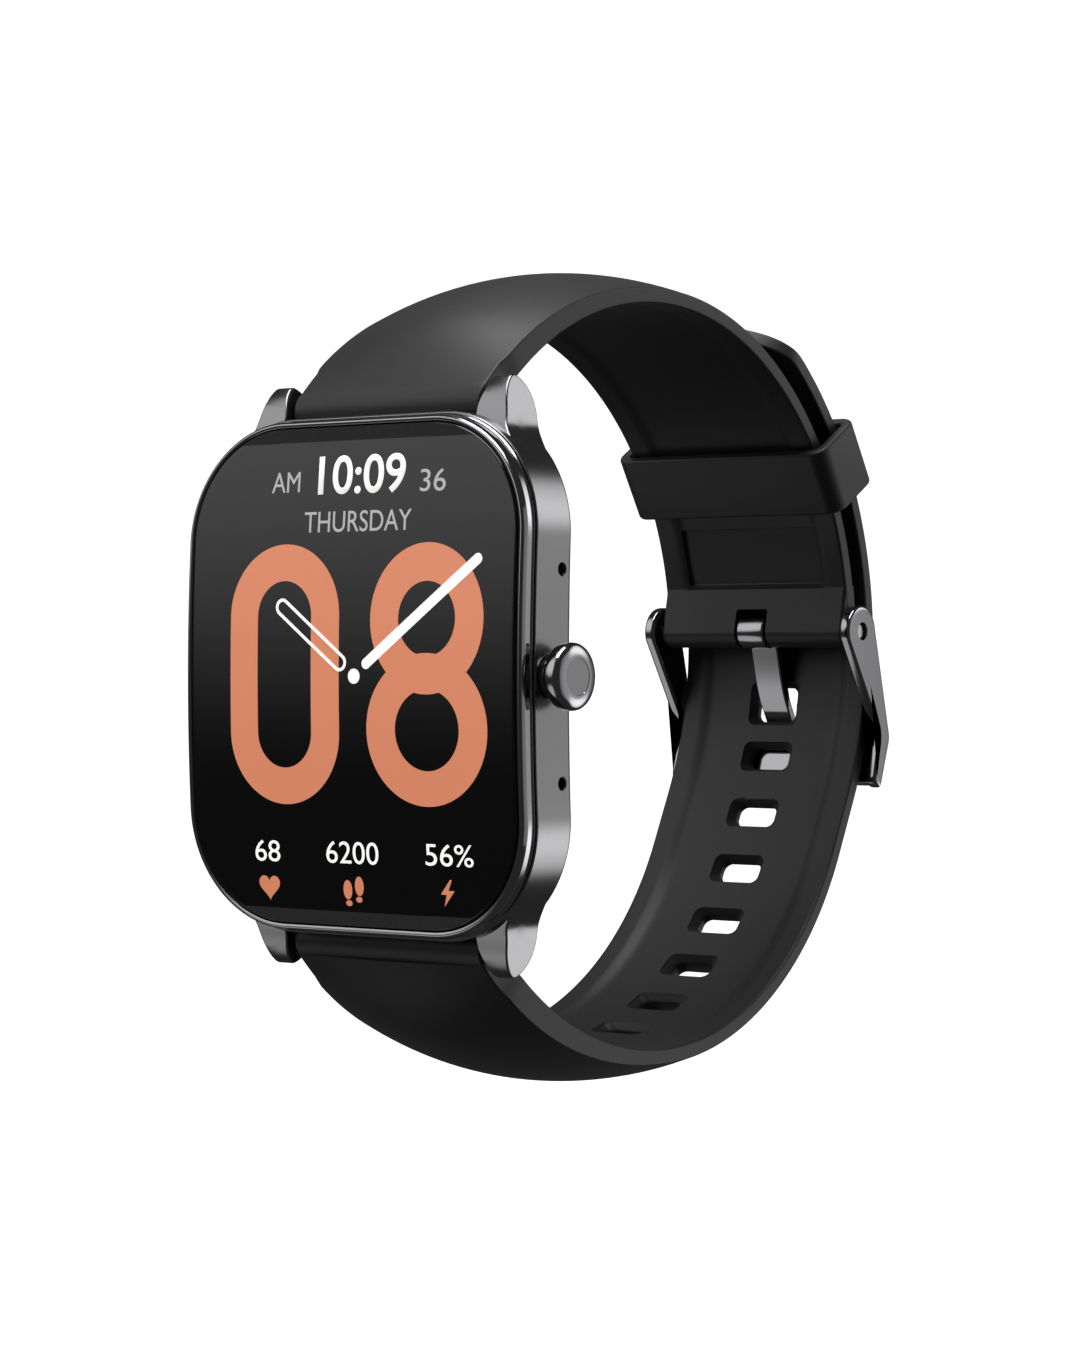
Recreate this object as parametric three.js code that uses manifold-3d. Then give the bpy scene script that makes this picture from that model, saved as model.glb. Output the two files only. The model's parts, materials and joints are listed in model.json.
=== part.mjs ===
// Smartwatch with a closed silicone strap: case, crown, sensors, inner modules, spring bars,
// pin buckle and keeper. Millimetres. +X is the crown side, +Z is 12 o'clock and -Y is where the
// display faces. The origin is the middle of the face that lies on the wrist.
import * as THREE from 'three';
import { mergeVertices } from 'three/addons/utils/BufferGeometryUtils.js';
import Module from 'manifold-3d';

const wasm = await Module();
wasm.setup();

// ---------------------------------------------------------------- driving dimensions
// case outline and depths, measured forward from the wrist face
const caseWidth = 39.2;
const caseHeight = 46;
const cornerRadius = 11;
const caseDepth = 11.2;
const bezelHeight = 1.6;
const bandHeight = 4.55;
const wall = 1.9;
const sensorBump = 2.3;
// strap and its bars
const strapWidth = 22;
const strapEdge = 1.4;
const upperEdgeSwell = 0.9;
const lowerEdgeSwell = 1.4;
const swellLength = 30;
const strapDip = 0.3;
const stripWidth = 2.4;
const barForward = 4.0;
const barBeyondCase = 0.8;
const barrelRadius = 2.1;
const barTubeRadius = 1.2;
const pinRadius = 0.55;
const pinReach = 1.3;
const releaseTravel = 1.5;
const lugThickness = 3.6;
// loop of the closed strap
const claspRadius = 31.3;
const claspReach = 25.5;
const claspRise = 3.2;
const upperBarInside = -0.28;
const lowerBarInside = -0.7;
const tailGap = 3.4;
const tailEndAngle = 60;
const tailTipLength = 5.6;
const buckleAngle = 2;
// buckle, tongue and keeper
const buckleBarRadius = 0.75;
const buckleBarrel = 1.6;
const buckleArm = 1.2;
const buckleDrop = 12.72;
const buckleBarPlate = 1.25;
const tongueWidth = 3.2;
const tongueThickness = 0.9;
const keeperAngle = 31.2;
const keeperLength = 6.9;
const keeperWall = 1.1;
const holePitch = 6.2;
const firstHoleDrop = 6.78;
const holeCount = 9;
// crown
const crownRadius = 2.9;
const crownThickness = 1.6;
const crownStandOff = 1.15;
const crownStemRadius = 0.95;
const crownTravel = 0.45;
const crownBack = 7.3;
// fits
const clearance = 0.15;
const looseFit = 0.3;
const sideGap = 0.35;

// ---------------------------------------------------------------- derived places
const halfW = caseWidth / 2;
const halfH = caseHeight / 2;
const bandFront = -(caseDepth - bezelHeight);
const bandRear = bandFront + bandHeight;
const glassFront = -caseDepth;
const frameRear = -sensorBump;
const barY = -barForward;
const barZ = halfH + barBeyondCase;
const halfStrap = strapWidth / 2;
const lugOuter = halfStrap + lugThickness;
const deg = Math.PI / 180;

// ---------------------------------------------------------------- finishes
const finish = (color, roughness, metalness) =>
  new THREE.MeshStandardMaterial({ color, roughness, metalness });
const gunmetal = finish(0x5c5c5f, 0.32, 1);
const polished = finish(0x77777b, 0.12, 1);
const glass = finish(0x0b0b0c, 0.05, 0);
const screen = finish(0x101012, 0.3, 0);
const silicone = finish(0x1c1c1d, 0.6, 0);
const rubber = finish(0x262626, 0.8, 0);
const steel = finish(0xb9bbbd, 0.3, 1);
const resin = finish(0x2b2c2e, 0.5, 0);
const board = finish(0x1f4d38, 0.6, 0);
const foil = finish(0x9a9c9f, 0.35, 1);
const gold = finish(0xcaa24f, 0.3, 1);

const watch = new THREE.Group();

// ---------------------------------------------------------------- solids
// signed volume of an indexed triangle mesh: positive when its faces point out
function signedVolume(p, index) {
  const a = new THREE.Vector3();
  const b = new THREE.Vector3();
  const c = new THREE.Vector3();
  let sum = 0;
  for (let i = 0; i < index.length; i += 3) {
    a.fromArray(p, 3 * index[i]);
    b.fromArray(p, 3 * index[i + 1]);
    c.fromArray(p, 3 * index[i + 2]);
    sum += a.dot(b.cross(c));
  }
  return sum / 6;
}

// a closed geometry whose faces point out, from points and triangle corners
function closedGeometry(points, triangles) {
  const p = points.flatMap((v) => [v.x, v.y, v.z]);
  if (signedVolume(p, triangles) < 0) triangles.reverse();
  const g = new THREE.BufferGeometry();
  g.setAttribute('position', new THREE.Float32BufferAttribute(p, 3));
  g.setIndex(triangles);
  return g;
}

// skin over a row of equal rings; the row's two ends are fans, or meet when it is a loop
function loft(rings, loop = false) {
  const n = rings[0].length;
  const points = rings.flat();
  const triangles = [];
  const rows = loop ? rings.length : rings.length - 1;
  for (let r = 0; r < rows; r += 1) {
    const next = (r + 1) % rings.length;
    for (let i = 0; i < n; i += 1) {
      const j = (i + 1) % n;
      triangles.push(r * n + i, r * n + j, next * n + j, r * n + i, next * n + j, next * n + i);
    }
  }
  if (loop) return closedGeometry(points, triangles);
  for (const [r, turn] of [[0, 1], [rings.length - 1, 0]]) {
    const middle = new THREE.Vector3();
    rings[r].forEach((v) => middle.addScaledVector(v, 1 / n));
    points.push(middle);
    for (let i = 0; i < n; i += 1) {
      const j = (i + 1) % n;
      const ends = turn ? [r * n + j, r * n + i] : [r * n + i, r * n + j];
      triangles.push(points.length - 1, ...ends);
    }
  }
  return closedGeometry(points, triangles);
}

function toManifold(geometry) {
  let g = geometry.index ? geometry.clone() : geometry;
  g.deleteAttribute('normal');
  g.deleteAttribute('uv');
  g = mergeVertices(g, 1e-5);
  const mesh = new wasm.Mesh({
    numProp: 3,
    vertProperties: new Float32Array(g.attributes.position.array),
    triVerts: new Uint32Array(g.index.array),
  });
  mesh.merge();
  return new wasm.Manifold(mesh);
}

function toGeometry(solid) {
  const mesh = solid.getMesh();
  const g = new THREE.BufferGeometry();
  g.setAttribute('position', new THREE.BufferAttribute(new Float32Array(mesh.vertProperties), 3));
  g.setIndex(new THREE.BufferAttribute(new Uint32Array(mesh.triVerts), 1));
  return g;
}

// body joined with the first list of geometries, then cut by the second
function carve(body, joined = [], cut = []) {
  let solid = toManifold(body);
  for (const g of joined) solid = solid.add(toManifold(g));
  for (const g of cut) solid = solid.subtract(toManifold(g));
  return toGeometry(solid);
}

const overlap = (a, b) => toGeometry(toManifold(a).intersect(toManifold(b)));

function add(name, geometry, material) {
  const mesh = new THREE.Mesh(geometry, material);
  mesh.name = name;
  watch.add(mesh);
  return mesh;
}

function box(x0, x1, y0, y1, z0, z1) {
  const g = new THREE.BoxGeometry(x1 - x0, y1 - y0, z1 - z0);
  return g.translate((x0 + x1) / 2, (y0 + y1) / 2, (z0 + z1) / 2);
}

// turned piece about a line along X through (y, z); profile is [x, radius] and closes on itself
function turnedX(profile, y, z, sides = 24) {
  const points = profile.map(([x, r]) => new THREE.Vector2(Math.max(r, 0), x));
  const g = new THREE.LatheGeometry(points, sides);
  return g.rotateZ(-Math.PI / 2).translate(0, y, z);
}

// turned piece about a line along Y through (x, z); profile is [y, radius]
function turnedY(profile, x, z, sides = 24) {
  const points = profile.map(([y, r]) => new THREE.Vector2(Math.max(r, 0), y));
  return new THREE.LatheGeometry(points, sides).translate(x, 0, z);
}

const rodX = (x0, x1, r, y, z, sides = 24) => turnedX([[x0, 0], [x0, r], [x1, r], [x1, 0]], y, z, sides);
const rodY = (y0, y1, r, x, z, sides = 24) => turnedY([[y0, 0], [y0, r], [y1, r], [y1, 0]], x, z, sides);
const tubeX = (x0, x1, r, bore, y, z, sides = 24) =>
  turnedX([[x0, bore], [x0, r], [x1, r], [x1, bore], [x0, bore]], y, z, sides);

// extrusion along X of an outline drawn in (y, z)
function extrudeX(outline, x0, x1, curveSegments = 8) {
  const options = { depth: x1 - x0, bevelEnabled: false, curveSegments };
  const g = new THREE.ExtrudeGeometry(outline, options);
  const m = new THREE.Matrix4().makeBasis(
    new THREE.Vector3(0, 1, 0), new THREE.Vector3(0, 0, 1), new THREE.Vector3(1, 0, 0));
  return g.applyMatrix4(m).translate(x0, 0, 0);
}

// extrusion along Y of an outline drawn in (x, z)
function extrudeY(outline, y0, y1, curveSegments = 5) {
  const options = { depth: y1 - y0, bevelEnabled: false, curveSegments };
  const g = new THREE.ExtrudeGeometry(outline, options);
  return g.rotateX(Math.PI / 2).translate(0, y1, 0);
}

// ---------------------------------------------------------------- case outline
const cornerSteps = 6;

// ring of the case's rounded rectangle, moved in by inset, at depth y
function caseRing(inset, y) {
  const ring = [];
  const r = cornerRadius - inset;
  const signs = [[1, 1], [-1, 1], [-1, -1], [1, -1]];
  signs.forEach(([sx, sz], k) => {
    for (let i = 0; i <= cornerSteps; i += 1) {
      const a = (k + i / cornerSteps) * (Math.PI / 2);
      const x = sx * (halfW - cornerRadius) + r * Math.cos(a);
      const z = sz * (halfH - cornerRadius) + r * Math.sin(a);
      ring.push(new THREE.Vector3(x, y, z));
    }
  });
  return ring;
}

// plate of the case outline; profile is [inset, y] from front to back
const casePlate = (profile) => loft(profile.map(([inset, y]) => caseRing(inset, y)));
// hoop of the case outline; the profile closes on itself
const caseHoop = (profile) => loft(profile.map(([inset, y]) => caseRing(inset, y)), true);

// ---------------------------------------------------------------- case frame with its lugs
const seatInset = wall + 1.5;
const ledgeInset = wall + 3.1;
const seatDepth = 1.2;
const ledge = frameRear - seatDepth;
const bossInset = ledgeInset + 0.4;
const bossRadius = 1.6;
const screwRadius = 0.55;
const screwTip = ledge - 2.7;
const crownY = -crownBack;
const crownTubeRadius = 1.8;
const crownBore = 1.3;
const micRadius = 0.52;
const micZ = halfH - cornerRadius - 2.85;
const micY = bandRear - 0.75;
const speakerSlot = { length: 3.6, height: 0.8, pitch: 5.4 };
const lugBoreRadius = pinRadius + looseFit;

function lug() {
  // seen from the side: the front face sweeps back from the band's front edge, the tip is round
  const side = new THREE.Shape();
  side.moveTo(barY - 2.6, barZ - 8);
  side.splineThru([
    new THREE.Vector2(barY - 4.6, barZ - 7.2),
    new THREE.Vector2(barY - 5.2, barZ - 5.6),
    new THREE.Vector2(barY - 4.85, barZ - 4.2),
    new THREE.Vector2(barY - 3.95, barZ - 2.7),
    new THREE.Vector2(barY - 3.05, barZ - 1.2),
    new THREE.Vector2(barY - 2.5, barZ + 0.5),
    new THREE.Vector2(barY - 1.75, barZ + 1.8),
    new THREE.Vector2(barY - 0.85, barZ + 2.38),
    new THREE.Vector2(barY + 0.3, barZ + 1.85),
    new THREE.Vector2(barY + 1.15, barZ + 0.7),
    new THREE.Vector2(barY + 1.4, barZ - 0.8),
    new THREE.Vector2(barY + 1.1, barZ - 2.4),
    new THREE.Vector2(barY + 0.1, barZ - 4.2),
    new THREE.Vector2(barY - 0.75, barZ - 5.6),
    new THREE.Vector2(barY - 1.8, barZ - 8),
  ]);
  // seen from the front the outer face leans in, and its foot sweeps out into the case corner
  const front = new THREE.Shape();
  const foot = halfH - 4.4;
  front.moveTo(halfStrap, foot);
  front.lineTo(halfStrap, barZ - 0.3);
  front.lineTo(halfStrap + 1.0, barZ + 3);
  front.lineTo(lugOuter - 1.1, barZ + 3);
  front.lineTo(lugOuter, halfH - 0.9);
  front.bezierCurveTo(lugOuter + 0.3, halfH - 2.1, lugOuter + 1.1, halfH - 3.0, lugOuter + 2.6, foot);
  return overlap(extrudeX(side, halfStrap, lugOuter + 3.2, 2), extrudeY(front, barY - 5.6, barY + 3));
}

function fourCorners(geometry) {
  const list = [];
  for (const sx of [1, -1]) {
    for (const sz of [1, -1]) {
      const g = geometry.clone().scale(sx, 1, sz);
      list.push(sx * sz < 0 ? flipped(g) : g);
    }
  }
  return list;
}

// the same geometry with its faces turned over, for a mirrored copy
function flipped(geometry) {
  const g = geometry.index ? geometry : mergeVertices(geometry);
  g.setIndex(Array.from(g.index.array).reverse());
  return g;
}

const bossX = halfW - cornerRadius + (cornerRadius - bossInset) * Math.SQRT1_2;
const bossZ = halfH - cornerRadius + (cornerRadius - bossInset) * Math.SQRT1_2;
const cavity = casePlate([[wall, bandFront - 1], [wall, bandRear - 0.55], [ledgeInset, ledge - 0.8],
  [ledgeInset, ledge], [seatInset, ledge], [seatInset, frameRear + 3]]);

function caseFrame() {
  const shell = casePlate([[0.15, bandFront - 0.05], [0, bandFront + 0.15], [0, bandRear - 0.1],
    [0.1, bandRear + 0.25], [0.45, bandRear + 0.6], [seatInset - 0.9, frameRear - 0.3],
    [seatInset - 0.5, frameRear]]);
  const scoops = [1, -1].map((s) => rodX(-halfStrap, halfStrap, barrelRadius + looseFit, barY, s * barZ, 20));
  const lugBores = [1, -1].map((s) => rodX(-lugOuter + 1.5, lugOuter - 1.5, lugBoreRadius, barY, s * barZ, 12));
  const boss = rodY(screwTip - 0.6, ledge, bossRadius, bossX, bossZ, 16);
  const bossBore = rodY(screwTip - 0.2, ledge + 1, screwRadius + looseFit - 0.1, bossX, bossZ, 12);
  const mics = [1, -1].map((s) => rodX(halfW - wall - 1, halfW + 1, micRadius, micY, s * micZ, 16));
  const slots = [1, -1].map((s) => box(-halfW - 1, -halfW + wall + 1, crownY - speakerSlot.height / 2,
    crownY + speakerSlot.height / 2, (s * speakerSlot.pitch - speakerSlot.length) / 2,
    (s * speakerSlot.pitch + speakerSlot.length) / 2));
  const crownHole = rodX(halfW - wall - 2, halfW + 1, crownTubeRadius + clearance, crownY, 0);
  const hollow = carve(shell, fourCorners(lug()), [cavity, crownHole, ...mics, ...slots, ...scoops, ...lugBores]);
  return carve(hollow, fourCorners(boss), fourCorners(bossBore));
}
add('case_frame', caseFrame(), gunmetal);

// ---------------------------------------------------------------- front: bezel, glass, display
const glassInset = 1.0;
const glassThickness = 1.0;
const glassRear = glassFront + glassThickness;
const gasketThickness = 0.15;
const displayInset = wall + 0.9;
const bezelLedge = glassRear + gasketThickness + 0.1;
const bezelRear = bandFront - 0.15;
add('bezel_ring', caseHoop([[0.35, bezelRear], [0.35, bezelRear - 0.25], [0.45, glassFront + 0.3],
  [0.8, glassFront + 0.05], [glassInset - 0.08, glassFront + 0.05], [glassInset - 0.08, bezelLedge],
  [wall + 0.5, bezelLedge], [wall + 0.5, bezelRear]]), polished);
add('touch_glass', casePlate([[glassInset + 0.15, glassFront], [glassInset, glassFront + 0.15],
  [glassInset, glassRear]]), glass);
const gasketFront = glassRear + 0.05;
add('glass_gasket', caseHoop([[glassInset + 0.1, gasketFront], [wall + 0.4, gasketFront],
  [wall + 0.4, gasketFront + gasketThickness], [glassInset + 0.1, gasketFront + gasketThickness]]), rubber);
const displayFront = glassRear + 0.05;
const displayRear = displayFront + 1.1;
add('display_panel', casePlate([[displayInset, displayFront], [displayInset, displayRear]]), screen);

// ---------------------------------------------------------------- inner frame
const trayFront = displayRear + 0.15;
const trayRear = trayFront + 0.6;
const trayInset = wall + 0.3;
const crownBayHalf = 3.0;
const crownBayX = halfW - wall - 6.6;
const bossClear = fourCorners(rodY(trayFront - 1, trayRear + 1, bossRadius + looseFit, bossX, bossZ, 16));
const windowZ = halfH - 5.4;
const trayCuts = [
  box(crownBayX, halfW, trayFront - 1, trayRear + 1, -crownBayHalf, crownBayHalf),
  box(-5, 5, trayFront - 1, trayRear + 1, windowZ, windowZ + 1.4),
];
add('inner_frame', carve(casePlate([[trayInset, trayFront], [trayInset, trayRear]]), [],
  [...trayCuts, ...bossClear]), resin);
const flexZ = windowZ + 0.7;
add('display_flex', box(-3.5, 3.5, displayRear + 0.05, trayRear + 0.7, flexZ - 0.12, flexZ + 0.12), gold);

// ---------------------------------------------------------------- battery, board, modules
const moduleFront = trayRear + 0.15;
const moduleRear = ledge - 1.1;
const moduleLeft = -(halfW - wall - 6.9);
const moduleRight = halfW - wall - 7.6;
const moduleSplit = -1;
const moduleGap = 0.5;
const moduleHalfZ = halfH - 5.1;
const boardThickness = 0.8;
const boardRear = moduleFront + boardThickness;
const cell = new THREE.Shape();
const cellTop = moduleSplit - moduleGap;
const cellRound = 1.2;
cell.moveTo(moduleLeft + cellRound, -moduleHalfZ);
cell.lineTo(moduleRight - cellRound, -moduleHalfZ);
cell.absarc(moduleRight - cellRound, -moduleHalfZ + cellRound, cellRound, -Math.PI / 2, 0);
cell.absarc(moduleRight - cellRound, cellTop - cellRound, cellRound, 0, Math.PI / 2);
cell.absarc(moduleLeft + cellRound, cellTop - cellRound, cellRound, Math.PI / 2, Math.PI);
cell.absarc(moduleLeft + cellRound, -moduleHalfZ + cellRound, cellRound, Math.PI, 1.5 * Math.PI);
add('battery_cell', extrudeY(cell, moduleFront, moduleRear), foil);
const boardTop = windowZ - 0.4;
const boardHoles = [[moduleLeft + 1.4, boardTop - 1.4], [moduleRight - 1.4, moduleSplit + 1.4]];
const screwHoles = boardHoles.map(([x, z]) => rodY(moduleFront - 1, boardRear + 1, 0.8, x, z, 12));
add('main_board', carve(box(moduleLeft, moduleRight, moduleFront, boardRear, moduleSplit, boardTop),
  [], screwHoles), board);
boardHoles.forEach(([x, z], i) => {
  const head = boardRear + 0.05;
  add(`board_screw_${i + 1}`, turnedY([[moduleFront + 0.05, 0], [moduleFront + 0.05, 0.5],
    [head, 0.5], [head, 1.0], [head + 0.5, 1.0], [head + 0.5, 0]], x, z, 12), steel);
});
const chipFront = boardRear + 0.05;
add('processor_shield', box(-6.5, 2.5, chipFront, chipFront + 1.3, moduleSplit + 5, moduleSplit + 14), foil);
add('power_chip', box(4.2, 7.4, chipFront, chipFront + 0.9, moduleSplit + 8, moduleSplit + 11.4), resin);
add('radio_chip', box(-6.5, -3.0, chipFront, chipFront + 0.8, moduleSplit + 1, moduleSplit + 4), resin);
add('motion_sensor', box(-1.2, 1.4, chipFront, chipFront + 0.8, moduleSplit + 1.2, moduleSplit + 3.8), resin);
add('antenna_strip', box(-8, 8, moduleFront, bandRear - 0.9, halfH - wall - 1.2, halfH - wall - 0.3), gold);
add('speaker_module', box(-(halfW - wall - 0.4), moduleLeft - 0.5, moduleFront, bandRear - 0.9, -6, 6), resin);
for (const [name, s] of [['upper', 1], ['lower', -1]]) {
  add(`microphone_${name}`, box(halfW - wall - 2.3, halfW - wall - 0.15, micY - 1.2, bandRear - 0.65,
    s * micZ - 1.3, s * micZ + 1.3), foil);
}

// haptic drive: an open can with a mass that slides along Z
const hapticX = [moduleRight + 0.4, halfW - wall - 2.9];
const hapticZ = [4.0, bossZ - bossRadius - 0.4];
const hapticRear = moduleFront + 2.6;
const hapticTravel = 0.4;
const canWall = 0.35;
add('haptic_can', carve(box(hapticX[0], hapticX[1], moduleFront, hapticRear, hapticZ[0], hapticZ[1]), [],
  [box(hapticX[0] + canWall, hapticX[1] - canWall, moduleFront + canWall, hapticRear + 1,
    hapticZ[0] + canWall, hapticZ[1] - canWall)]), steel);
const massMargin = canWall + 0.25;
add('haptic_mass', box(hapticX[0] + massMargin, hapticX[1] - massMargin, moduleFront + massMargin,
  hapticRear - 0.1, hapticZ[0] + massMargin + hapticTravel, hapticZ[1] - massMargin - hapticTravel), steel);

// ---------------------------------------------------------------- back: cover, lens, sensors
const coverInset = seatInset + clearance;
const coverInner = ledge + 0.25;
const chargeRadius = 1.0;
const chargeMargin = 3.15;
const domeRadius = halfH - coverInset - chargeMargin - 2 * chargeRadius - 0.1;
const lensRadius = domeRadius - 2.2;
const lensThickness = 1.5;
const sensorWellRadius = lensRadius - 1.6;
const domeRear = -0.7;
const screwHead = 1.1;
const chargeX = 2.4;
const chargeZ = -(domeRadius + 2 * chargeRadius + 0.1);
const coverCuts = [
  rodY(-lensThickness - 0.15, 1, lensRadius + clearance, 0, 0, 40),
  rodY(coverInner - 1, 1, sensorWellRadius, 0, 0, 40),
  ...fourCorners(turnedY([[coverInner - 1, 0], [coverInner - 1, screwRadius + 0.25],
    [frameRear - 0.55, screwRadius + 0.25], [frameRear - 0.55, screwHead + clearance],
    [frameRear + 1, screwHead + clearance], [frameRear + 1, 0]], bossX, bossZ, 16)),
  ...[1, -1].map((s) => rodY(coverInner - 1, 1, chargeRadius + clearance, s * chargeX, chargeZ, 20)),
];
const dome = turnedY([[coverInner + 0.3, 0], [coverInner + 0.3, domeRadius], [frameRear, domeRadius],
  [domeRear - 0.2, domeRadius - 0.9], [domeRear, domeRadius - 1.2], [domeRear, 0]], 0, 0, 40);
add('back_cover', carve(casePlate([[coverInset, coverInner], [coverInset, frameRear - 0.25],
  [coverInset + 0.25, frameRear]]), [dome], coverCuts), resin);
const backGasketFront = ledge + 0.05;
add('back_gasket', carve(caseHoop([[seatInset + 0.2, backGasketFront], [ledgeInset - 0.1, backGasketFront],
  [ledgeInset - 0.1, backGasketFront + 0.15], [seatInset + 0.2, backGasketFront + 0.15]]), [],
fourCorners(rodY(ledge - 1, ledge + 1, screwRadius + 0.35, bossX, bossZ, 12))), rubber);
[[1, 1], [1, -1], [-1, 1], [-1, -1]].forEach(([sx, sz], i) => {
  add(`back_screw_${i + 1}`, turnedY([[screwTip, 0], [screwTip, screwRadius],
    [frameRear - 0.5, screwRadius], [frameRear - 0.5, screwHead], [frameRear - 0.05, screwHead],
    [frameRear - 0.05, 0]], sx * bossX, sz * bossZ, 12), steel);
});
add('sensor_lens', turnedY([[-lensThickness, 0], [-lensThickness, lensRadius], [-0.45, lensRadius],
  [-0.15, lensRadius - 0.8], [0, lensRadius - 2.2], [0, 0]], 0, 0, 40), glass);
const sensorFront = coverInner - 0.5;
const sensorRear = sensorFront + 0.8;
add('sensor_board', rodY(sensorFront, sensorRear, sensorWellRadius - 0.5, 0, 0, 32), board);
const emitterTop = -lensThickness - 0.1;
for (const [name, x, z] of [['led_green', 0, 3.2], ['led_red', 0, -3.2], ['photodiode_left', -4, 0],
  ['photodiode_right', 4, 0]]) {
  add(name, box(x - 1.1, x + 1.1, sensorRear + 0.05, emitterTop, z - 1.1, z + 1.1), resin);
}
for (const [name, s] of [['left', -1], ['right', 1]]) {
  add(`charge_contact_${name}`, turnedY([[ledge - 0.6, 0], [ledge - 0.6, chargeRadius],
    [frameRear, chargeRadius], [frameRear + 0.1, chargeRadius - 0.15], [frameRear + 0.1, 0]],
  s * chargeX, chargeZ, 20), gold);
}

// ---------------------------------------------------------------- crown
const crownRear = halfW + crownStandOff;
const crownFace = crownRear + crownThickness;
const collarEnd = crownRear - crownTravel - clearance;
const tubeInner = halfW - wall - 0.75;
const counterBore = halfW - 1.2;
const counterRadius = 1.5;
add('crown_tube', turnedX([[tubeInner, crownBore], [tubeInner, crownTubeRadius], [halfW + 0.1, crownTubeRadius],
  [halfW + 0.1, crownTubeRadius + 0.2], [collarEnd, crownTubeRadius + 0.2], [collarEnd, counterRadius],
  [counterBore, counterRadius], [counterBore, crownBore], [tubeInner, crownBore]], crownY, 0), polished);
add('crown_cap', turnedX([[crownRear, crownStemRadius + clearance], [crownRear, crownRadius - 0.25],
  [crownRear + 0.25, crownRadius], [crownFace - 0.5, crownRadius], [crownFace - 0.15, crownRadius - 0.35],
  [crownFace + 0.05, crownRadius * 0.62], [crownFace, crownRadius * 0.54], [crownFace, 0],
  [crownFace - 0.6, 0], [crownFace - 0.6, crownStemRadius + clearance],
  [crownRear, crownStemRadius + clearance]], crownY, 0, 32), polished);
const stemEnd = halfW - wall - 3.4;
const wheelRadius = 1.6;
const wheelX = tubeInner - 1.6;
add('crown_stem', rodX(stemEnd, crownFace - 0.75, crownStemRadius, crownY, 0, 20), steel);
add('crown_oring', new THREE.TorusGeometry(1.23, 0.2, 6, 20).rotateY(Math.PI / 2)
  .translate(counterBore + 0.5, crownY, 0), rubber);

// toothed wheel that the rotation sensor reads, and the clip that stops the stem
function radialShape(bore, outer, tooth, teeth) {
  const shape = new THREE.Shape();
  for (let i = 0; i < teeth * 4; i += 1) {
    const r = i % 4 < 2 ? outer : outer - tooth;
    const a = (i / (teeth * 4)) * 2 * Math.PI;
    if (i === 0) shape.moveTo(r * Math.cos(a), r * Math.sin(a));
    else shape.lineTo(r * Math.cos(a), r * Math.sin(a));
  }
  const hole = new THREE.Path();
  hole.absarc(0, 0, bore, 0, 2 * Math.PI, true);
  shape.holes.push(hole);
  return shape;
}
const stemFit = crownStemRadius + clearance;
add('crown_wheel', extrudeX(radialShape(stemFit, wheelRadius, 0.3, 12), wheelX, wheelX + 0.6)
  .translate(0, crownY, 0), resin);
const clip = new THREE.Shape();
clip.absarc(0, 0, 1.7, 30 * deg, 330 * deg);
clip.absarc(0, 0, stemFit, 330 * deg, 30 * deg, true);
const clipX = tubeInner - 0.15;
add('crown_clip', extrudeX(clip, clipX - 0.3, clipX).translate(0, crownY, 0), steel);
const switchFace = stemEnd - 0.6 - crownTravel;
const plungerBore = 0.75;
add('crown_switch', carve(box(crownBayX + 0.3, switchFace, crownY - 0.6, crownY + 1.6, -1.5, 1.5), [],
  [rodX(crownBayX + 0.9, switchFace + 1, plungerBore, crownY + 0.4, 0, 16)]), resin);
add('crown_plunger', rodX(crownBayX + 0.9 + crownTravel + 0.1, stemEnd - 0.05, 0.5, crownY + 0.4, 0, 12), steel);
add('rotation_sensor', box(wheelX - 0.3, wheelX + 1.0, crownY - 0.8, crownY + 0.9,
  wheelRadius + 0.3, wheelRadius + 1.0), resin);

// ---------------------------------------------------------------- strap paths, in the Y-Z plane
const clasp = { y: barY + claspReach, z: claspRise };
const lower = { y: clasp.y + 0.5, z: -claspRise - 0.25 };
const upperJoin = 84.6;
const lowerJoin = -90;
const upperFront = frontArc(clasp, upperJoin, barZ, upperBarInside);
const lowerFront = frontArc(lower, lowerJoin, -barZ, lowerBarInside);

// wider arc in front that meets a loop arc smoothly at an angle and passes just outside a spring bar
function frontArc(centre, angle, z, inside) {
  const out = { y: Math.cos(angle * deg), z: Math.sin(angle * deg) };
  const bar = { y: barY - centre.y, z: z - centre.z };
  const near = claspRadius - inside;
  const d = (bar.y ** 2 + bar.z ** 2 - near ** 2) / (2 * (near - bar.y * out.y - bar.z * out.z));
  return { y: centre.y - d * out.y, z: centre.z - d * out.z, r: claspRadius + d };
}

const onCircle = (c, r, angle) => ({ y: c.y + r * Math.cos(angle * deg), z: c.z + r * Math.sin(angle * deg) });

// stations along a path: pieces are arcs {c, r, from, to, n}; a straight piece joins them.
// Each station holds its place, the outward direction, the angle and the length so far.
function stations(pieces) {
  const list = [];
  for (const { c, r, from, to, n } of pieces) {
    for (let i = 0; i <= n; i += 1) {
      const angle = from + ((to - from) * i) / n;
      const p = onCircle(c, r, angle);
      const last = list[list.length - 1];
      const step = last ? Math.hypot(p.y - last.y, p.z - last.z) : 0;
      if (last && step < 0.01) continue;
      const out = { y: Math.cos(angle * deg), z: Math.sin(angle * deg) };
      list.push({ ...p, out, angle, length: (last ? last.length : 0) + step });
    }
  }
  return list;
}

const smooth = (x, a, b) => THREE.MathUtils.smoothstep(x, Math.min(a, b), Math.max(a, b));

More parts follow.
